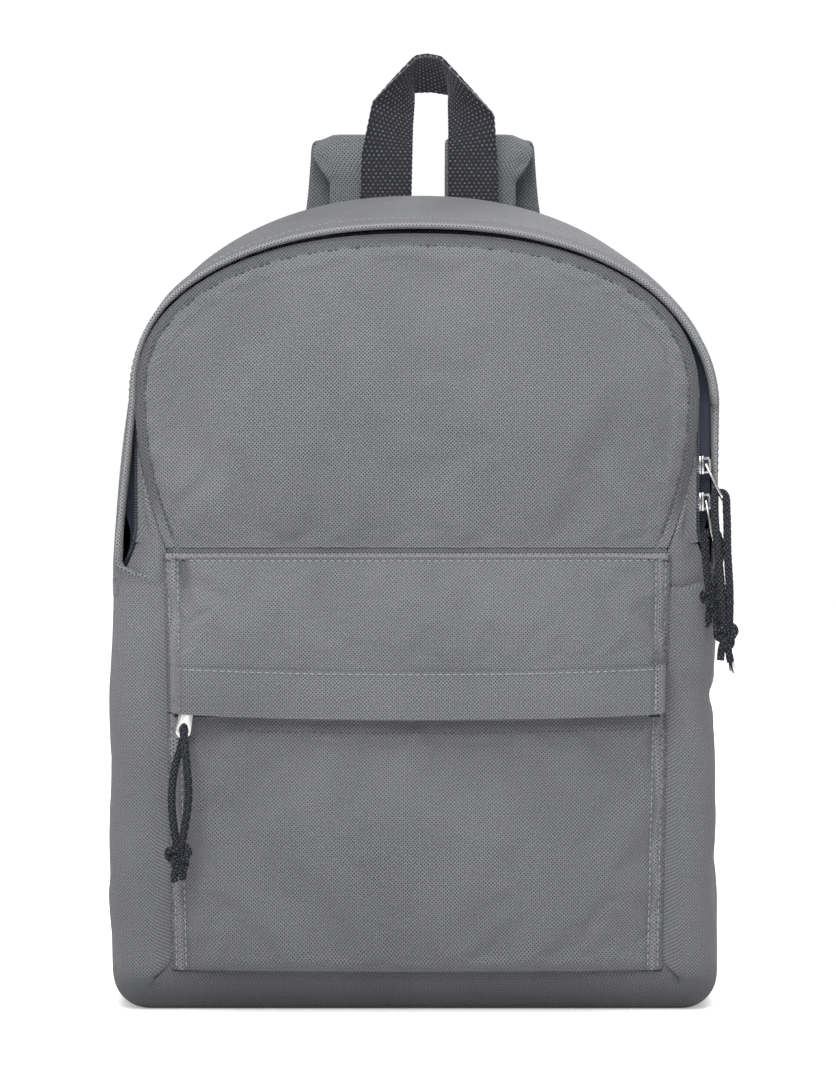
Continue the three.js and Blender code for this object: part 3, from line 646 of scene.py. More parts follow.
def overhand(centre, size, lean):
    """A closed overhand loop drawn tight, its long way along Z."""
    t = np.linspace(0, 2 * np.pi, 260)
    x = np.sin(t) + 2 * np.sin(2 * t)
    z = np.cos(t) - 2 * np.cos(2 * t)
    y = -np.sin(3 * t) * 1.1
    turned = np.stack([x * np.cos(lean) - z * np.sin(lean), y, x * np.sin(lean) + z * np.cos(lean)], axis=1)
    return np.asarray(centre) + turned * size * np.array([0.95, 0.8, 1.1])


def frayed(name, start, end, body, long):
    """Loose filaments at a cut end, spread out evenly but unalike."""
    count, rings, around = 16, 7, 4
    start, end = np.asarray(start, float), np.asarray(end, float)
    along = unit(end - start)
    parts = []
    for i in range(count):
        angle = i * 2.4
        out = 0.25 + 1.15 * ((i * 0.618) % 1)
        side = np.array([math.cos(angle), math.sin(angle), 0]) * out
        reach = long * (0.55 + 0.45 * ((i * 0.377) % 1))
        knots = [end - along * 1.5 + side * 0.5, end + side, end + along * reach + side * 1.6]
        path = curve_through(knots, rings)
        a, b = side_frames(path)
        turn = np.linspace(0, 2 * np.pi, around, endpoint=False)
        taper = np.linspace(0.26, 0.1, rings)[:, None, None]
        points = (path[:, None] + taper * ring_of(turn, a[:, None], b[:, None])).reshape(-1, 3)
        parts.append((points, capped_tube(rings, around)))
    return merge_pieces(name, parts, CORD, body)


def make_pull_cord(key, pull):
    """A cord through a tab's eye, its knot, its two cut ends and the filaments of one of them."""
    body, centre = pull["body"], pull["centre"]

    def strand(name, path, radius=CORD_WIDE / 2 - 0.1):
        return rope(f"{name}_{key}", path, radius, CORD, body, braided=0.2)

    path = curve_through(pull["route"], 480)
    piece = strand("cord", path, CORD_WIDE / 2)
    knot = strand("knot", overhand(centre, pull["size"], 0.2))
    tail, twin = (strand(f"cord_{end}", curve_through([centre, *pull[end]], 50)) for end in ("tail", "twin"))
    fray = frayed(f"cord_fray_{key}", *pull["tail"], body, pull["fray"])
    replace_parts(piece, pull["nodes"][0])
    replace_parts(knot, pull["nodes"][1])


for key, pull in PULLS.items():
    make_pull_cord(key, pull)


# ---- the shell: one lofted band round the whole pack ----
def shell_at(y):
    """The outline at depth y: half widths of the arch and the base, the arch's rise and its power."""
    t = (y - FRONT_Y) / (BACK_Y - FRONT_Y)
    belly = 4 * t * (1 - t)
    return (lerp(142.5, BACK_HALF - 5.5, t) + 3.0 * belly, lerp(145, BACK_HALF, t) + 3.2 * belly,
            lerp(FRONT_RISE, TOP_Z - ARCH_Z, t), lerp(2.2, 2.15, t))


def ring_point(kind, share, y, inset):
    """A point of the shell's outline at depth y, moved in by inset, on the +X half."""
    arch, base, rise, power = shell_at(y)
    centre = np.maximum(inset, BASE_RADIUS)
    if kind == "flat":
        return (base - centre) * share, 0 * y + inset
    if kind == "corner":
        angle = share * np.pi / 2
        radius = centre - inset
        return base - centre + radius * np.sin(angle), centre - radius * np.cos(angle)
    if kind == "side":
        z = lerp(centre, ARCH_Z, share)
        return lerp(base, arch, share) - inset, 0 * y + z
    angle = share * np.pi / 2
    return ((arch - inset) * max(np.cos(angle), 0) ** (2 / power),
            ARCH_Z + (rise - inset) * np.sin(angle) ** (2 / power))


BACK_ROLL = 9
# the hidden hem's inset below the opening, and the heights between which it becomes the opening's edge
HEM_INSET, OPENING_START = 27.0, (204, 219)
# inset and depth of the opening's edge over the arch, and lower down on each side
EDGE_ARCH, EDGE_LOW = (0.6, -58.5), {1: (0.7, -45.2), -1: (1.6, -48.0)}
# the heights over which the edge comes forward from the one to the other
EDGE_CHANGE = {1: (302, 330), -1: (150, 160)}
# how far each side stands out beyond the even outline, by height
SIDE_OUT = {
    1: ([0, 40, 74, 118, 134, 152, 172, 200, 240, 269, 300, 330],
        [0, 0, 0.4, 0.6, 0, -2, 0.4, 2.6, 3.6, 3.7, 4.0, 1.2]),
    -1: ([0, 35, 55, 74, 94, 133, 152, 171, 200, 230, 249, 269, 300, 330],
         [1.5, 2.6, 4.1, 3.8, 3.3, 3.8, 4.9, 5.0, 4.5, 3.9, 2.3, 0.3, -2.6, -1.6]),
}


def broadened(points):
    """The outline's sides moved out or in, each by its own amount."""
    x, z = points[..., 0], points[..., 2]
    right, left = (np.interp(z, *SIDE_OUT[hand]) for hand in (1, -1))
    points = points.copy()
    points[..., 0] += np.sign(x) * np.where(x > 0, right, left) * smooth(np.abs(x), 122, 142)
    return points


def shell_profile(kind, share, hand):
    """Inset and depth across the band, from the hidden hem at the front to the back seam."""
    z = lerp(BASE_RADIUS, ARCH_Z, share) if kind == "side" else (ARCH_Z if kind == "arch" else 0)
    upper = float(smooth(z, *OPENING_START))
    recess = float(1 - smooth(z, *EDGE_CHANGE[hand])) if kind != "arch" else 0.0
    turn = {"flat": 0.0, "corner": float(share)}.get(kind, 1.0)
    edge_inset, edge_depth = (lerp(arch, low, recess) for arch, low in zip(EDGE_ARCH, EDGE_LOW[hand]))
    front_inset, front = lerp(HEM_INSET, edge_inset, upper), lerp(FRONT_Y - 0.2, edge_depth, upper)
    side = lerp(lerp(-38.0, -40.0, turn), -40.0, upper)
    start = np.array([front_inset, front])
    corner = np.array([0.0, side])
    roll = lerp(np.array([-11.0, 1.4]), np.array([-23.0, -0.6]), turn)
    reach = lerp(roll, np.array([0.0, 5.0]), upper)
    t = np.linspace(0, 1, 21)[:, None]
    lead = lerp(lerp(15.0, 12.0, turn), 5.0, upper)
    p1, p2 = start + reach, corner - np.array([0.0, lead])
    bend = (1 - t) ** 3 * start + 3 * (1 - t) ** 2 * t * p1 + 3 * (1 - t) * t ** 2 * p2 + t ** 3 * corner
    hem_low = start + np.array([[3.0, 1.0], [2.0, 0.7], [1.2, 0.4], [0.5, 0.1]])
    hem_up = start + np.array([[2.6, 11.0], [2.4, 5.0], [2.1, 0.9], [1.1, -0.5]])
    hem = lerp(hem_low, hem_up, upper)
    y = np.linspace(side, BACK_Y - BACK_ROLL, 26)[1:]
    middle = np.stack([0 * y, y], axis=1)
    angle = np.linspace(0, np.pi / 2, 7)[1:]
    end = np.stack([5 * (1 - np.cos(angle)), BACK_Y - BACK_ROLL + BACK_ROLL * np.sin(angle)], axis=1)
    return np.concatenate([hem, bend, middle, end])


STATIONS = [(kind, share) for kind, count in (("flat", 30), ("corner", 16), ("side", 100), ("arch", 100))
            for share in np.linspace(0, 1, count)[:None if kind == "arch" else -1]]


def waves(points, amount, length, seed=0.0):
    """Slow, uneven waves through space, the same on every run."""
    x, y, z = np.moveaxis(points, -1, 0) * (2 * np.pi / length)
    total = np.sin(0.9 * x + 0.5 * z + seed) * np.cos(0.4 * x - 0.8 * z + 0.7 * y + 2.1 * seed)
    total += 0.6 * np.sin(1.7 * z - 1.1 * y + 1.3 * seed + 0.8 * np.sin(x))
    total += 0.4 * np.sin(2.9 * x + 1.9 * z + 2.3 * y + 0.5 * seed)
    return amount * total / 2


def crease(points, start, end, wide, deep):
    """A soft valley along the line from start to end, fading at its ends."""
    start, end = np.asarray(start, float), np.asarray(end, float)
    line = end - start
    t = ((points - start) @ line) / (line @ line)
    away = np.linalg.norm(points - (start + np.clip(t, 0, 1)[..., None] * line), axis=-1)
    fade = np.sin(np.pi * np.clip(t, 0, 1)) ** 0.7
    ridge = bell(away, 0, wide) - 0.45 * bell(away, 1.9 * wide, wide)
    return -deep * fade * ridge


def make_shell():
    halves = {}
    for hand in (1, -1):
        half = []
        for kind, share in STATIONS:
            inset, y = shell_profile(kind, share, hand).T
            x, z = ring_point(kind, share, y, inset)
            half.append(np.stack([hand * x, y, z], axis=1))
        halves[hand] = np.array(half)
    grid = broadened(np.concatenate([halves[1], halves[-1][::-1][1:-1]]))
    normal = normals_of(grid, closed=True)
    outward = normal * np.sign(np.sum(normal[60, 30] * [1, 0, 0]))
    y = grid[..., 1]
    sides = smooth(y, -58, -40) * smooth(-y, -BACK_Y + 4, -BACK_Y + 24)
    free = sides * smooth(grid[..., 2], 2, 30)
    push = waves(grid, 1.5, 230, 0.4) * free
    below = smooth(-grid[..., 2], -214, -190)
    for side in (-1, 1):
        deep = 1.6 if side > 0 else 0.6
        push += crease(grid, (side * 136, -64, 160), (side * 153, 30, 143), 5, deep) * below
        push += crease(grid, (side * 134, -64, 50), (side * 153, 10, 92), 11, 1.2)
        push += crease(grid, (side * 150, -40, 118), (side * 152, 50, 100), 10, 1.0) * free
        push += crease(grid, (side * 150, -20, 250), (side * 150, 52, 228), 9, 1.4) * free
        push += crease(grid, (side * 128, -62, 236), (side * 150, -40, 196), 5, 1.2)
    grid = grid + outward * push[..., None]
    # A painted highlight along the fold's edge, on the band's upper part.
    painted_highlight = np.zeros(grid.shape[:2])
    painted_highlight[:, 3:6] = [-0.1, -0.3, -0.16]
    painted_highlight *= smooth(grid[..., 2], 214, 236)
    piece = cloth("shell_band", grid, 0.9, SHELL, "pack", closed=True, shade=painted_highlight)
    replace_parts(piece, "top_gusset", "side_panel_left", "side_panel_right", "base_panel", "main_zip_flap")
    return grid, outward


SHELL_GRID, SHELL_OUT = make_shell()


def gusset_stitches():
    """The light row of stitches behind the fold that covers the zip."""
    column = int(np.argmin(np.abs(SHELL_GRID[200, :, 1] + 46.5)))
    above = SHELL_GRID[:, column, 2] > 262
    line, out = SHELL_GRID[above, column], SHELL_OUT[above, column]
    stitches("gusset_stitch", line + out * 0.5, out, THREAD_LIGHT, "pack")


gusset_stitches()


def zip_end_cover(side, hand):
    """A patch of the shell's cloth sewn over the closed end of the zip."""
    column = int(np.argmin(np.abs(SHELL_GRID[200, :, 1] + 40)))
    near = np.abs(SHELL_GRID[:, column, 2] - 206) < 6
    rows = np.where(near & (side * SHELL_GRID[:, column, 0] > 100))[0]
    columns = np.where(np.abs(SHELL_GRID[rows[0], :, 1] + 42) < 8)[0]
    at = np.ix_(rows, columns)
    piece = cloth(f"zip_end_cover_{hand}", SHELL_GRID[at] + SHELL_OUT[at] * 0.3, 0.6, SHELL, "pack")
    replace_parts(piece, f"zip_end_tab_{hand}")


for side, hand in SIDES:
    zip_end_cover(side, hand)


# ---- back panel, behind the foam ----
def outline_at(y, inset, count=220):
    """The whole outline at one depth, from the bottom middle round the right side and back."""
    half = [ring_point(kind, share, np.array(y), np.array(inset)) for kind, share in STATIONS]
    right = np.array(half, float)
    left = right[::-1] * [-1, 1]
    path = np.concatenate([right, left[1:]])
    path = broadened(sheet(path[:, 0], y, path[:, 1]))
    return evenly(path, count + 1)[:-1]


def filled(outline, rings, shape):
    """A sheet inside a closed outline: rings shrink toward a line up the middle."""
    x, z = outline[:, 0], outline[:, 2]
    low, high = z.min(), z.max()
    spine = np.clip(z, low + 60, high - 90)
    share = np.linspace(0, 1, rings) ** 0.8
    x, z = x[:, None] * (1 - 0.9999 * share), lerp(z[:, None], spine[:, None], share)
    return sheet(x, shape(x, z, share[None]), z)


def make_back():
    outline = outline_at(BACK_Y, 4.4)

    def padded_back(x, z, share):
        """Four cushions side by side, sewn down between them."""
        puff = 4.2 * np.clip(share / 0.14, 0, 1) ** 0.6
        channels = sum(bell(np.abs(x), at, 3.5) for at in (0, 46, 96))
        sewn = 2.4 * channels * np.clip(share / 0.2, 0, 1)
        return BACK_Y - 1.0 + puff - sewn + 0.5 * np.sin(z / 17) * share

    grid = filled(outline, 60, padded_back)
    piece = panel("back_padding", grid, 1.6, STRAP_CLOTH, "pack", closed=True)
    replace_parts(piece, "back_panel")
    flat = grid.reshape(-1, 3)
    for i, at in enumerate((-96, -46, 0, 46, 96)):
        z = np.linspace(40, 372 - 0.35 * abs(at), 180)
        near = [np.argmin((flat[:, 0] - at) ** 2 + (flat[:, 2] - height) ** 2) for height in z]
        line = softened(sheet(at, flat[near, 1] + 0.75, z), 9)
        stitches(f"back_stitch_{i}", line, BACKWARD, THREAD_DARK, "pack")
    inner = filled(outline_at(BACK_Y - BACK_ROLL, 8.0), 20, lambda x, z, share: 0 * x + BACK_Y - 8.6)
    lining = panel("back_inner_lining", inner, 0.8, LINING, "pack", closed=True)
    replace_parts(lining, "back_lining")


make_back()


# ---- the lid ----
LID_HALF, LID_RISE, LID_POWER = 137.5, 79.0, 2.3


def lid_half(z):
    return LID_HALF - 16.0 * (np.clip(ARCH_Z - z, 0, None) / 75) ** 2


def lid_top(x):
    return ARCH_Z + LID_RISE * np.clip(1 - np.abs(x / LID_HALF) ** LID_POWER, 0, 1) ** (1 / LID_POWER)


def lid_edge(count):
    """The lid's outline above the fold."""
    angle = np.linspace(0, np.pi / 2, 400)
    bend = 2 / LID_POWER
    arch = np.stack([LID_HALF * np.cos(angle) ** bend, ARCH_Z + LID_RISE * np.sin(angle) ** bend], axis=1)
    z = np.linspace(FOLD_Z + 0.6, ARCH_Z, 120)[:-1]
    right = np.concatenate([np.stack([lid_half(z), z], axis=1), arch])
    path = np.concatenate([right, right[::-1][1:] * [-1, 1]])
    return evenly(sheet(path[:, 0], LID_FRONT, path[:, 1]), count)


def distance_to(points, path):
    """How far each point is from the path, seen from the front."""
    flat = points.reshape(-1, 3)[:, [0, 2]]
    best = np.full(len(flat), 1e9)
    for chunk in np.array_split(path[:, [0, 2]], 12):
        best = np.minimum(best, np.sqrt(((flat[:, None] - chunk[None]) ** 2).sum(-1)).min(1))
    return best.reshape(points.shape[:-1])


LID_BORDER, LID_TURN, LID_MIDDLE = 5.0, 3.4, 290


def make_lid():
    """The lid's panel: a rolled edge, a stitched groove inside it and a soft swell."""
    edge = lid_edge(900)
    turn = np.sin(np.linspace(-0.5, 0.5, 151) * np.pi)
    top_x = LID_HALF * signed_power(turn, 0.8)
    z = lerp(FOLD_Z + 0.6, lid_top(top_x)[:, None], np.linspace(0, 1, 101)[None])
    grid = sheet(top_x[:, None] * lid_half(z) / LID_HALF, LID_FRONT, z)
    away = distance_to(grid, edge)
    inside = smooth(away, LID_BORDER - 0.4, LID_BORDER + 6)
    groove = bell(away, LID_BORDER, 0.9)
    lower = smooth(grid[..., 2], FOLD_Z, FOLD_Z + 26)
    puff = 1.8 * inside * lower + 6.4 * quarter_sine(away / 85, 1) * smooth(z, FOLD_Z, FOLD_Z + 54)
    flat = grid.copy()
    puff += waves(flat, 1.1, 120, 1.7) * inside * lower
    for start, end, wide, deep in (((-126, -60, 236), (-96, -60, 268), 5, 1.3),
                                   ((124, -60, 236), (98, -60, 272), 6, 1.2),
                                   ((-70, -60, 228), (-30, -60, 246), 8, 0.9)):
        puff += crease(flat, start, end, wide, deep) * inside
    puff += 0.5 * np.sin(np.arctan2(grid[..., 0], z - LID_MIDDLE) * 58) * bell(away, 7, 3) * lower
    grid[..., 1] += LID_TURN * (1 - smooth(away, 0, LID_BORDER)) * lower
    grid[..., 1] -= puff - 1.1 * groove
    held = np.clip(1.6 - away / 9, 0, 1) + smooth(-grid[..., 2], -FOLD_Z - 8, -FOLD_Z)
    grid = settle(grid, np.clip(held, 0, 1), 0.7, 0.012, 4.0)
    # Painted shade on the lid's turned-back border, above the fold.
    shade = 0.42 * (1 - smooth(away, LID_BORDER - 0.9, LID_BORDER + 0.3)) * smooth(flat[..., 2], 232, 262)
    piece = cloth("lid_panel", grid, 1.2, SHELL, "lid", uv=flat[..., [0, 2]], shade=shade)
    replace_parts(piece, "front_panel_upper")
    inward = [0, 0, LID_MIDDLE] - edge
    inward[:, 1] = 0
    across = unit(np.cross(np.gradient(edge, axis=0), BACKWARD))
    across *= np.sign(np.sum(across * inward, axis=1, keepdims=True))
    line = (edge + across * LID_BORDER)[8:-8]
    line[:, 1] = LID_FRONT - 0.7
    stitches("lid_topstitch", line, FORWARD, THREAD_DARK, "lid", pitch=3.4, long=2.6)


make_lid()


# ---- main zip ----
def zip_swing(z, most=None):
    """How far the zip's end has swung out of its arch at height z, up to most (1 is SWING_OUT)."""
    start, high = 237, 20
    return np.clip((start - z) / high, 0, most) ** 1.6


SWING_OUT, SWING_BACK = 6.5, 5.0


def zip_path(low):
    """The zip's line over the arch. Near its ends it swings outward and back to the side seam."""
    angle = np.linspace(0, np.pi / 2, 300)
    bend = 2 / ZIP_POWER
    arch = sheet(ZIP_HALF * np.cos(angle) ** bend, 0, ARCH_Z + ZIP_RISE * np.sin(angle) ** bend)
    z = np.linspace(low, ARCH_Z, 160)[:-1]
    leg = np.stack([ZIP_HALF + SWING_OUT * zip_swing(z), SWING_BACK * zip_swing(z), z], axis=1)
    right = np.concatenate([leg, arch])
    path = np.concatenate([right, right[::-1][1:] * [-1, 1, 1]])
    return evenly(path + [0, ZIP_Y, 0], 420)


def out_from(path):
    """The direction square to the path, seen from the front, that points up at its middle."""
    out = unit(np.cross(np.gradient(path, axis=0), BACKWARD))
    return out * np.sign(out[len(path) // 2][2] or 1)


TOOTH_PITCH = 1.35
CORNERS = np.array([[a, b, c] for a in (-1, 1) for b in (-1, 1) for c in (-1, 1)], float)
BOX_FACES = [[0, 1, 3, 2], [4, 6, 7, 5], [0, 4, 5, 1], [2, 3, 7, 6], [0, 2, 6, 4], [1, 5, 7, 3]]


def teeth(name, path, side, body):
    """One row of zip elements: small rounded blocks that reach over the middle line."""
    count = int(path_length(path) / TOOTH_PITCH)
    stations = evenly(path, 2 * count + 1)
    out = out_from(stations)
    shaped = CORNERS * [0.42, 1.25, 0.75]
    shaped[:, 1] *= np.where(CORNERS[:, 2] > 0, 0.86, 1.0)
    parts = []
    for i in range(0 if side < 0 else 1, 2 * count, 2):
        along = unit(stations[i + 1] - stations[i])
        centre = stations[i] + np.array([0, side * 1.0, 0]) + out[i] * 1.2
        points = centre + shaped[:, :1] * along + shaped[:, 1:2] * BACKWARD + shaped[:, 2:] * out[i]
        parts.append((points, BOX_FACES))
    return merge_pieces(name, parts, COIL, body)


def kept_inside(points, y, clear):
    """The points, with any that pass the shell's outline at depth y brought back inside it."""
    outline = outline_at(y, clear, 900)[:, [0, 2]]
    ahead = np.roll(outline, -1, axis=0) - np.roll(outline, 1, axis=0)
    out = np.stack([ahead[:, 1], -ahead[:, 0]], axis=1)
    out *= np.sign(np.sum(out * (outline - [0, 200]), axis=1, keepdims=True))
    flat = points[:, [0, 2]]
    nearest = ((flat[:, None] - outline[None]) ** 2).sum(-1).argmin(1)
    over = np.sum((flat - outline[nearest]) * out[nearest], axis=1) > 0
    points = points.copy()
    points[over, 0], points[over, 2] = outline[nearest[over]].T
    return points


def make_main_zip():
    """Both rows of teeth, their tapes, and the lid's cloth turned back behind its edge."""
    row, rear_row = zip_path(FOLD_Z + 3.5), zip_path(217)
    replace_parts(teeth("zip_teeth_front", row, -1, "lid"), "main_zip_coil_front")
    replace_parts(teeth("zip_teeth_rear", rear_row, 1, "pack"), "main_zip_coil_rear")
    flat = row + [0, -4.8, 0]
    tape = lerp((row + [0, -0.4, 0])[:, None], flat[:, None], np.linspace(0, 1, 5)[None, :, None])
    piece = cloth("zip_tape_lid", tape, 0.7, TAPE, "lid")
    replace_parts(piece, "main_zip_tape_front")
    under = lid_edge(len(row)) + [0, LID_TURN, 0]
    slope = lerp((flat + [0, 0.3, 0])[:, None], under[:, None], np.linspace(0, 1, 9)[None, :, None])
    cloth("lid_return", slope, 0.8, SHELL, "lid")
    back = rear_row + [0, 4.8, 0]
    spread = 2.5 + 5.0 * smooth(rear_row[:, 2], 222, 252)
    sewn = rear_row + [0, 7.5, 0] + out_from(rear_row) * spread[:, None]
    seam = kept_inside(sewn, ZIP_Y + 7.5, 2.6)
    near = lerp((rear_row + [0, 0.4, 0])[:, None], back[:, None], np.linspace(0, 1, 4)[None, :-1, None])
    slope = lerp(back[:, None], seam[:, None], np.linspace(0, 1, 5)[None, :, None])
    piece = cloth("zip_tape_body", np.concatenate([near, slope], axis=1), 0.7, TAPE, "pack")
    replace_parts(piece, "main_zip_tape_rear")


make_main_zip()


# ---- front panel behind the pocket, and the fold the lid turns on ----
def make_front():
    z = np.linspace(20, FOLD_Z - 0.6, 90)[None]
    half = 124 - 4 * smooth(-z, -34, -20)
    grid = sheet(np.linspace(-1, 1, 90)[:, None] * half, FRONT_Y + 0.9, z)
    piece = panel("front_backing", grid, 0.9, SHELL, "pack")
    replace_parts(piece, "front_panel_lower")
    z = np.linspace(FOLD_Z - 5, FOLD_Z + 5, 14)[None]
    strip = sheet(np.linspace(-122, 122, 80)[:, None], FRONT_Y - 0.2, z)
    fold = panel("lid_fold", strip, 0.8, SHELL, None)
    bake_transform(fold)


make_front()


def make_shoulder(side, hand):
    """The body's cloth between the lid's lower corner and the end of the zip."""
    z = np.linspace(FOLD_Z - 28, 272, 50)
    share = np.linspace(0, 1, 18)
    inner = lid_half(np.maximum(z, FOLD_Z)) + 0.6
    outer = ZIP_HALF + SWING_OUT * zip_swing(z, 1.1) - 0.9
    if side > 0:
        slider = box("slider_lower")[0]
        outer = lerp(outer, np.minimum(outer, slider[0] - 0.8), smooth(z, slider[2] - 13, slider[2] - 7))
    outer = np.maximum(outer, inner + 0.3)
    swell = (2.2 if side < 0 else 1.2) * np.sin(np.pi * share)[None] ** 0.8
    bulge = swell * smooth(outer - inner, 1, 10)[:, None]
    lower = smooth(z, FOLD_Z, FOLD_Z + 26)
    y = lerp((FRONT_Y + 0.6 + 2.4 * lower)[:, None], -51.8, smooth(share, 0.15, 1.0)[None]) - bulge
    y += 6 * smooth(-z, -212, -199)[:, None]
    if side > 0:
        y += 4.5 * smooth(share, 0.6, 1.0)[None] * smooth(z, slider[2] - 15, slider[2] - 9)[:, None]
    grid = sheet(side * lerp(inner[:, None], outer[:, None], share[None]), y, z[:, None])
    grid[..., 1] -= crease(grid, (side * 124, -60, 224), (side * 140, -54, 250), 2.6, 1.2)
    panel(f"zip_shoulder_{hand}", grid, 0.9, SHELL, "pack")


for side, hand in SIDES:
    make_shoulder(side, hand)


# ---- front pocket ----
def pocket_half(z):
    """Half of the pocket's width at height z."""
    return lerp(119.2, POCKET_HALF + 0.6, np.clip((z - 19) / 205, 0, 1))


def pocket_grid(low, high, nu, nv):
    """A flat grid across the pocket, from low to high, each a height or a function of x / half width."""
    x = signed_power(np.sin(np.linspace(-0.5, 0.5, nu) * np.pi), 0.9)[:, None]
    low, high = (end(x) if callable(end) else end for end in (low, high))
    z = lerp(low, high, np.linspace(0, 1, nv)[None])
    return sheet(x * pocket_half(z), 0, z)


def sag(x):
    """How far the pocket's seams rise toward its sides, by x / half width."""
    return 3.0 * np.abs(x) ** 2.2


def seam_distance(grid):
    """How far each point is from the pocket's side seam."""
    return pocket_half(grid[..., 2]) - np.abs(grid[..., 0])


def side_rise(grid, wide, border=7.0):
    """0 along the side seams, where the double stitching holds the pocket flat, to 1 inside."""
    away = seam_distance(grid)
    return quarter_sine((away - border * 0.35) / wide, 0.8)


def side_hem(grid):
    """The rounded hem that stands up between the two rows of side stitches."""
    away = seam_distance(grid)
    return 1.2 * bell(away, 4.6, 1.4)


def hem_shade(grid):
    """Painted shade in the dips on both sides of the hem, and a painted highlight along its crest."""
    away = seam_distance(grid)
    return 0.3 * bell(away, 0.6, 1.0) + 0.2 * bell(away, 8.0, 1.2) - 0.1 * bell(away, 4.6, 1.2)


def make_pocket():
    """The panel above the pocket's zip, the one below it and the flap between them."""
    face = FRONT_Y - 1.2
    upper = pocket_grid(lambda x: SEAM_Z + sag(x), 222.9, 171, 61)
    share = np.linspace(0, 1, 61)[None]
    rise = side_rise(upper, wide=lerp(9.0, 38.0, share))
    swell = quarter_sine((1 - share) / 0.9, 0.62)
    depth = 19.2 * swell * rise
    depth += waves(upper, 0.8, 95, 2.2) * rise * swell
    depth += crease(upper, (-122, 0, 216), (-88, 0, 200), 4, 2.6) * rise
    depth += crease(upper, (-115, 0, 226), (-110, 0, 194), 2.6, 4.2)
    depth += side_hem(upper)
    depth += crease(upper, (118, 0, 218), (86, 0, 202), 5, 1.8) * rise
    # A thin band of painted shade just under the top piping, added to the hem's painted shade and highlight.
    shade = hem_shade(upper) + 0.3 * bell(upper[..., 2], 220.6, 0.9)
    uv = upper[..., [0, 2]].copy()
    upper[..., 1] = face - np.maximum(depth, 0.2)
    upper = settle(upper, border_pins(upper.shape, 8), 1.2, 0.015, 4.0)
    piece = cloth("pocket_upper", upper, 1.1, SHELL, "pack", uv=uv, shade=shade)
    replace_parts(piece, "pocket_panel_upper")

    lower = pocket_grid(21.0, lambda x: FLAP_Z - 0.4 + sag(x), 201, 131)
    share = np.linspace(0, 1, 131)[None]
    rise = side_rise(lower, wide=lerp(44.0, 9.0, smooth(share, 0.5, 1.0)))
    rim = quarter_sine(share / 0.06, 0.5)
    middle = 1 - (lower[..., 0] / POCKET_HALF) ** 2
    depth = (9.4 + 7.0 * np.sin(np.pi * np.clip(share / 0.9, 0, 1)) ** 0.8 * middle) * rim * rise
    depth += waves(lower, 0.9, 110, 3.3) * rise * rim * smooth(1 - share, 0.05, 0.2)
    for side in (-1, 1):
        for x0, z0, x1, z1, wide, deep in ((118, 24, 92, 50, 4, 1.3), (110, 20, 98, 40, 3.2, 1.5),
                                           (119, 44, 100, 70, 5, 0.8)):
            depth += crease(lower, (side * x0, 0, z0), (side * x1, 0, z1), wide, deep) * rise
    depth += side_hem(lower)
    depth -= 2.4 * np.exp(-((lower[..., 0] + 103) / 9) ** 2 - ((lower[..., 2] - 136) / 8) ** 2)
    shade, uv = hem_shade(lower), lower[..., [0, 2]].copy()
    lower[..., 1] = face - np.maximum(depth, 0.2)
    lower[..., 2] -= 2.0 * bell(share, 0.05, 0.05) * rise * middle
    lower = settle(lower, border_pins(lower.shape, 8), 1.6, 0.02, 5.0)
    piece = cloth("pocket_lower", lower, 1.1, SHELL, "pack", uv=uv, shade=shade)
    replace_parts(piece, "pocket_panel_lower")

    flap = pocket_grid(lambda x: FLAP_Z + sag(x), lambda x: SEAM_Z + 0.3 + sag(x), 200, 24)
    share = np.linspace(0, 1, 24)[None]
    rise = np.where(flap[..., 0] < 0, side_rise(flap, wide=9.0), side_rise(flap, wide=3.4, border=0.0))
    hang = 19.9 + 0.9 * np.sin(np.pi * share) - 0.5 * (1 - share)
    depth = hang * rise + waves(flap, 0.4, 80, 5.1) * rise + side_hem(flap)
    flap[..., 1] = face - np.maximum(depth, 0.4)
    flap[..., 0] -= 1.6 * smooth(flap[..., 0], 104, 118)
    piece = panel("pocket_flap", flap, 1.3, SHELL, "pack", shade=hem_shade(flap))
    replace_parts(piece, "pocket_zip_flap")
    seams(upper, lower, flap)
    top = np.abs(upper[:, -1, 0]) < POCKET_HALF - 0.5
    edge = softened(evenly(upper[top, -1] + [0, -1.3, -0.8], 400), 5)
    # The piping carries a painted highlight.
    rope("pocket_top_piping", edge, 1.7, SHELL, "pack", around=16, braided=0.22, lay=3.4, shade=-0.22)


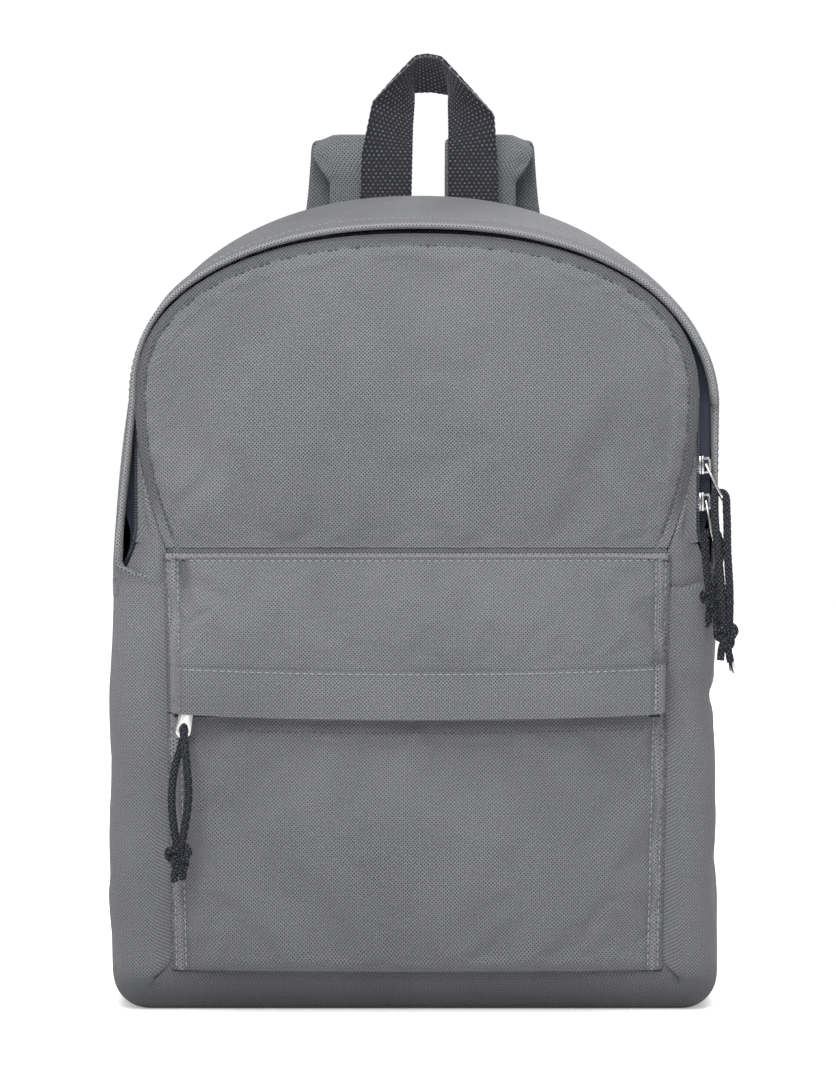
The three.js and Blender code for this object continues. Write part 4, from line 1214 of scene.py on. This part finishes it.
def seams(upper, lower, flap):
    """Stitch lines: two rows down each side seam, one along the top and one along the flap's seam."""
    for side, hand in SIDES:
        for inner, row in ((2.2, "outer"), (7.0, "inner")):
            for stretch, low, high in (("low", 22, FLAP_Z + 2.2), ("high", FLAP_Z + 3.4, 221)):
                z = np.linspace(low, high, int(high - low))
                x = side * (pocket_half(z) - inner)
                y = []
                for across, height in zip(x, z):
                    grid = lower if stretch == "low" else (flap if height < SEAM_Z + 2 else upper)
                    flat = grid.reshape(-1, 3)
                    y.append(flat[np.argmin((flat[:, 0] - across) ** 2 + (flat[:, 2] - height) ** 2), 1])
                line = softened(sheet(x, np.array(y) - 0.75, z), 7)
                outward = (side * 0.35, -1.0, 0)
                stitches(f"pocket_stitch_{hand}_{row}_{stretch}", line, outward, THREAD_LIGHT, "pack")
    within = np.abs(flap[:, -1, 0]) < POCKET_HALF - 3
    stitches("flap_topstitch", flap[within, -3] + [0, -0.9, 0], FORWARD, THREAD_LIGHT, "pack")
    keep = (lower[:, -1, 0] > -90) & (lower[:, -1, 0] < POCKET_HALF - 9)
    row = int(np.argmin(np.abs(lower[100, :, 2] - (FLAP_Z - 6.5))))
    stitches("zip_topstitch", lower[keep, row] + [0, -0.6, 0], FORWARD, THREAD_DARK, "pack",
             long=2.0, pitch=3.2, radius=0.3)
    within = np.abs(upper[:, -1, 0]) < POCKET_HALF - 3
    stitches("pocket_top_stitch", upper[within, -4] + [0, -0.7, 0], (0, -1.0, 0.3), THREAD_LIGHT, "pack")


make_pocket()


# ---- handle ----
def selvedge(grid, pitch=2.6, bite=0.35):
    """Small scallops along both edges, where the weft turns round."""
    reach = lengths_along(grid[:, grid.shape[1] // 2])
    wobble = unit(grid[:, -1] - grid[:, 0]) * (bite * np.abs(np.sin(np.pi * reach / pitch)))[:, None]
    grid = grid.copy()
    grid[:, 0] -= wobble
    grid[:, -1] += wobble
    return grid


def make_handle():
    low, high = box("grab_handle")
    middle, y = (low[0] + high[0]) / 2, (low[1] + high[1]) / 2
    foot, top = low[2] - 8, high[2] - 1
    # each selvedge: sideways place, height below the top, and depth behind the middle of the webbing
    deep = foot - top
    outer = [(-34.2, deep, 0), (-33.4, -50, 0), (-27.8, -23.2, -1), (-16.5, -11.5, -5.5),
             (-5.6, -0.9, -9), (0, 0, -9.5), (7.1, -1.2, -9), (20.5, -15, -5.5), (34.6, -29.7, -1),
             (36.2, -50, 0), (37, deep, 0)]
    inner = [(-8.2, deep, 0), (-7.6, -50, 0), (-7.2, -34, 1.5), (-7.1, -24.5, 5), (-7.1, -16.8, 9),
             (2.5, -16.4, 9.5), (12, -18, 9), (11.8, -27, 5), (11.4, -38, 1.5), (11.3, -50, 0),
             (11.2, deep, 0)]
    sides = [np.array([(middle + x, y + depth, top + drop) for x, drop, depth in side], float)
             for side in (outer, inner)]
    reach = lengths_along((sides[0] + sides[1]) / 2)
    fine = np.linspace(0, 1, 300)
    edges = [softened(between(fine, reach / reach[-1], side), 7) for side in sides]
    share = np.linspace(0, 1, 14)
    grid = lerp(edges[0][:, None], edges[1][:, None], share[None, :, None])
    bow = 1.0 * np.sin(np.pi * share)[None] * np.sin(np.pi * fine)[:, None]
    grid = grid + normals_of(grid) * bow[..., None]
    grid = selvedge(grid)
    uv = np.stack(np.meshgrid(lengths_along(grid[:, 7]), share * 25.0, indexing="ij"), axis=2)
    piece = cloth("handle_webbing", grid, 2.0, WEBBING, "handle", uv=uv)
    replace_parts(piece, "grab_handle")


make_handle()


# ---- shoulder straps ----
STRAP_THICK, STRAP_TOP = 9.0, 47.0


def strap_route(side, hand):
    """The middle of a strap, from its end under the yoke over its fold and down to its ladder lock."""
    lock = box(f"ladder_lock_{hand}")
    offset = 3.0
    y = box(f"shoulder_strap_{hand}")[0][1] + STRAP_THICK / 2
    lock_x, lock_y = (sum(lock) / 2)[:2]
    points = [(34.5, 0, 384), (34.5, 0, 408), (34.5, 1.5, 426), (34.8, 11.5, 437.5), (36, 21.5, 424),
              (38, 23.5, 400), (46, 24, 350), (60, 22, 280), (73, 19, 210)]
    route = [(offset + side * x, y + behind, z) for x, behind, z in points]
    return route + [(lock_x, lock_y, lock[1][2] + 1.0)]


def make_strap(side, hand):
    path = curve_through(strap_route(side, hand), 230)
    reach = np.linspace(0, 1, 230)
    wide = lerp(STRAP_TOP, 34.0, smooth(reach, 0.7, 1)) + 15 * np.sin(np.pi * smooth(reach, 0.2, 1.15))
    tangent = unit(np.gradient(path, axis=0))
    across = unit(np.array([1.0, 0, 0]) - tangent * tangent[:, :1])
    out = np.cross(tangent, across)
    angle = np.linspace(0, 2 * np.pi, 41)
    rising = 1 - smooth(reach, 0.085, 0.125)
    wide = wide - 9.5 * rising
    path = path - np.array([side, 0, 0]) * (9.5 / 2 * rising)[:, None]
    cx, cy = signed_power(np.cos(angle), 0.55), signed_power(np.sin(angle), 0.8)
    thick = STRAP_THICK * (1 - 0.45 * smooth(reach, 0.94, 1))
    seam = 0.16 * bell(np.abs(cx), 0.8, 0.05)
    pucker = 1 + 0.05 * np.sin(reach * 260)[:, None] * bell(np.abs(cx), 0.86, 0.1)[None]
    outer = smooth(cx * side, 0.45, 0.95)[None]
    pinch = sum(bell(reach, at, 0.012) for at in (0.118, 0.158))[:, None]
    crush = 1 - 0.75 * pinch * outer
    shrink = 1 - 0.09 * pinch * outer
    grid = path[:, None] + across[:, None] * (cx[None] * shrink * wide[:, None] / 2)[..., None] * 0.985
    swell = cy[None] * (1 - seam[None]) * pucker * crush * thick[:, None] / 2
    grid = grid + out[:, None] * swell[..., None]
    points = grid[:, :-1].reshape(-1, 3)
    at = np.arange(230 * 40).reshape(230, 40)
    nxt = np.roll(at, -1, axis=1)
    faces = np.stack([at[:-1], at[1:], nxt[1:], nxt[:-1]], axis=-1).reshape(-1, 4).tolist()
    faces += [at[0].tolist(), at[-1][::-1].tolist()]
    uv = (cx[None, :-1] * wide[:, None] / 2, lengths_along(path)[:, None])
    uv = np.stack(np.broadcast_arrays(*uv), axis=2)
    piece = put(f"strap_{hand}", points, faces, STRAP_CLOTH, "pack", uv.reshape(-1, 2))
    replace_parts(piece, f"shoulder_strap_{hand}")


def make_webbing(side, hand):
    """The webbing through a ladder lock, and the tail that hangs from it."""
    lock = box(f"ladder_lock_{hand}")
    lock_x, lock_y = (sum(lock) / 2)[:2]
    low, high = box(f"strap_tail_{hand}")
    anchor = side * 122
    routes = {
        "webbing": [(lock_x, lock_y + 2.6, lock[1][2] - 4), (lock_x, lock_y + 2.9, lock[0][2] + 8),
                    (lock_x + side * 0.5, lock_y - 1, lock[0][2] - 3), (3 + side * 98, 72, 84),
                    (anchor, 63.0, 40), (anchor + side * 3, 62.4, 26)],
        "tail": [(lock_x - side * 1, high[1] - 2.0, high[2]), (lock_x - side * 2, high[1] - 0.8, 92),
                 (lock_x - side * 1, high[1] - 1.6, low[2] + 1)],
    }
    for kind, body in (("webbing", "pack"), ("tail", f"tail_{hand}")):
        middle = curve_through(routes[kind], 120)
        grid = middle[:, None] + np.array([1.0, 0, 0]) * np.linspace(-0.5, 0.5, 14)[None, :, None] * 20.0
        piece = cloth(f"adjuster_{kind}_{hand}", selvedge(grid), 1.5, WEBBING, body)
        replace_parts(piece, f"strap_{kind}_{hand}")


for side, hand in SIDES:
    make_strap(side, hand)
    make_webbing(side, hand)


# ---- pocket zip ----
def make_pocket_zip():
    """The rows of teeth behind the flap and their tapes."""
    reach = POCKET_HALF - 5.0
    low, high = box("pocket_zip_coil_upper")
    y = (low[1] + high[1]) / 2
    for row, side in (("upper", 1), ("lower", -1)):
        parts = []
        for i in range(int(2 * reach / TOOTH_PITCH)):
            x = -reach + (i + (0.25 if side > 0 else 0.75)) * TOOTH_PITCH
            parts.append((CORNERS * [0.42, 0.75, 1.25] + [x, y, ZIP_LINE_Z + side * 1.0], BOX_FACES))
        piece = merge_pieces(f"pocket_teeth_{row}", parts, COIL, "pack")
        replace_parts(piece, f"pocket_zip_coil_{row}")
        low, high = box(f"pocket_zip_tape_{row}")
        near, far = (low[2], high[2]) if side > 0 else (high[2], low[2])
        x = np.linspace(low[0], high[0], 120)[:, None]
        grid = sheet(x, (low[1] + high[1]) / 2 + 0.2 * np.sin(x / 5), np.linspace(near, far, 8)[None])
        tape = cloth(f"pocket_tape_{row}", grid, 0.6, TAPE, "pack")
        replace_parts(tape, f"pocket_zip_tape_{row}")


make_pocket_zip()


def make_yoke():
    """The panel that the straps are sewn under. Its upper corners follow the arch."""
    low, high = box("strap_yoke")
    x = np.linspace(low[0], high[0], 90)
    arch, _, rise, power = shell_at(BACK_Y)
    top = np.minimum(high[2], ARCH_Z + rise * (1 - np.abs(x / arch) ** power) ** (1 / power) - 3.5)
    z = lerp(low[2], top[:, None], np.linspace(0, 1, 26)[None])
    grid = sheet(x[:, None], (low[1] + high[1]) / 2, z)
    piece = panel("strap_yoke_panel", grid, 1.2, STRAP_CLOTH, "pack")
    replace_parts(piece, "strap_yoke")


make_yoke()


# ---- hard parts: the frame's solids with their edges rounded ----
def rounded(node, name, width, material):
    """A copy of a node's mesh with its flats merged and its sharp edges rolled over."""
    mesh = frame["nodes"][node].data.copy()
    mesh.name = name
    shape = bmesh.new()
    shape.from_mesh(mesh)
    bmesh.ops.remove_doubles(shape, verts=shape.verts, dist=2e-6)
    bmesh.ops.dissolve_limit(shape, angle_limit=0.02, verts=shape.verts, edges=shape.edges)
    sharp = [edge for edge in shape.edges if edge.is_manifold and edge.calc_face_angle(0) > 0.6]
    bmesh.ops.bevel(shape, geom=sharp, offset=width * MM, segments=3, profile=0.5, affect="EDGES",
                    clamp_overlap=True)
    bmesh.ops.triangulate(shape, faces=[face for face in shape.faces if len(face.verts) > 4])
    shape.to_mesh(mesh)
    shape.free()
    mesh.materials.clear()
    mesh.materials.append(material)
    mesh.polygons.foreach_set("use_smooth", [True] * len(mesh.polygons))
    mesh.set_sharp_from_angle(angle=0.7)
    layer = mesh.uv_layers.new(name="cloth")
    for face in mesh.polygons:
        facing = max(range(3), key=lambda k: abs(face.normal[k]))
        u, v = (k for k in range(3) if k != facing)
        for corner in face.loop_indices:
            place = mesh.vertices[mesh.loops[corner].vertex_index].co
            layer.data[corner].uv = (place[u], place[v])
    piece = placed(name, mesh)
    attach(piece, frame["nodes"][node]["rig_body"])
    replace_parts(piece, node)


for place in ("upper", "lower"):
    rounded(f"slider_{place}", f"zip_slider_{place}", 0.35, NICKEL)
    rounded(f"pull_tab_{place}", f"zip_tab_{place}", 0.3, NICKEL)
rounded("pocket_slider", "pocket_zip_slider", 0.35, NICKEL)
rounded("pocket_pull_tab", "pocket_zip_tab", 0.3, NICKEL)
for hand in ("left", "right"):
    rounded(f"ladder_lock_{hand}", f"strap_lock_{hand}", 0.8, PLASTIC)
    rounded(f"anchor_tab_{hand}", f"strap_anchor_{hand}", 0.4, STRAP_CLOTH)
frame["nodes"]["back_foam"].data.materials.clear()
frame["nodes"]["back_foam"].data.materials.append(FOAM)


# ---- floor and light ----
def seen_level(tree, unseen, seen):
    """One number for what the picture shows of the paper, and another for the light that it throws."""
    looked_at = tree.nodes.new("ShaderNodeLightPath").outputs["Is Camera Ray"]
    level = tree.nodes.new("ShaderNodeMapRange")
    for socket, value in zip(level.inputs[1:5], (0, 1, unseen, seen)):
        socket.default_value = value
    tree.links.new(looked_at, level.inputs[0])
    return level.outputs[0]


def make_stage():
    mesh = bpy.data.meshes.new("floor")
    radius, height, corners = 12, -0.0004, 96
    turn = np.linspace(0, 2 * np.pi, corners, endpoint=False)
    mesh.from_pydata([(radius * math.cos(a), radius * math.sin(a), height) for a in turn], [],
                     [list(range(corners))])
    n = Nodes("paper")
    n.surface("Base Color", n.mix(n.noise(n.place(), 3.0), grey(250), grey(254)))
    n.surface("Roughness", 0.9)
    n.surface("Emission Color", (1, 1, 1, 1))
    far = n.tree.nodes.new("ShaderNodeVectorMath")
    far.operation = "LENGTH"
    n.tree.links.new(n.place(), far.inputs[0])
    # The paper glows for the camera so that it reads white. The glow is weaker near the pack, which paints
    # soft shade there on top of the real shadow.
    level = n.map_range(far.outputs["Value"], 0.1, 0.5, 0.3, 1.0)
    n.surface("Emission Strength", n.math("MULTIPLY", level, seen_level(n.tree, 0.0, 1.0)))
    mesh.materials.append(n.material)
    placed("floor", mesh)


def area_light(name, place, size, watts, target=(0, 0, 0.22)):
    light = bpy.data.lights.new(name, "AREA")
    light.shape = "RECTANGLE"
    light.size, light.size_y = size
    light.energy = watts
    lamp = placed(name, light)
    lamp.location = place
    lamp.rotation_euler = (Vector(target) - Vector(place)).to_track_quat("-Z", "Y").to_euler()


def make_light():
    area_light("key", (-0.5, -2.5, 1.7), (1.6, 1.4), 72)
    area_light("top", (0, -0.9, 2.4), (2.2, 2.2), 58)
    area_light("back", (0.9, 2.5, 1.7), (1.6, 1.6), 50)
    world = bpy.data.worlds.new("studio")
    world.use_nodes = True
    tree = world.node_tree
    tree.nodes["Background"].inputs[0].default_value = (1, 1, 1, 1)
    tree.links.new(seen_level(tree, 0.28, 1.02), tree.nodes["Background"].inputs[1])
    bpy.context.scene.world = world
    bpy.context.scene.view_settings.view_transform = "Standard"


make_stage()
make_light()
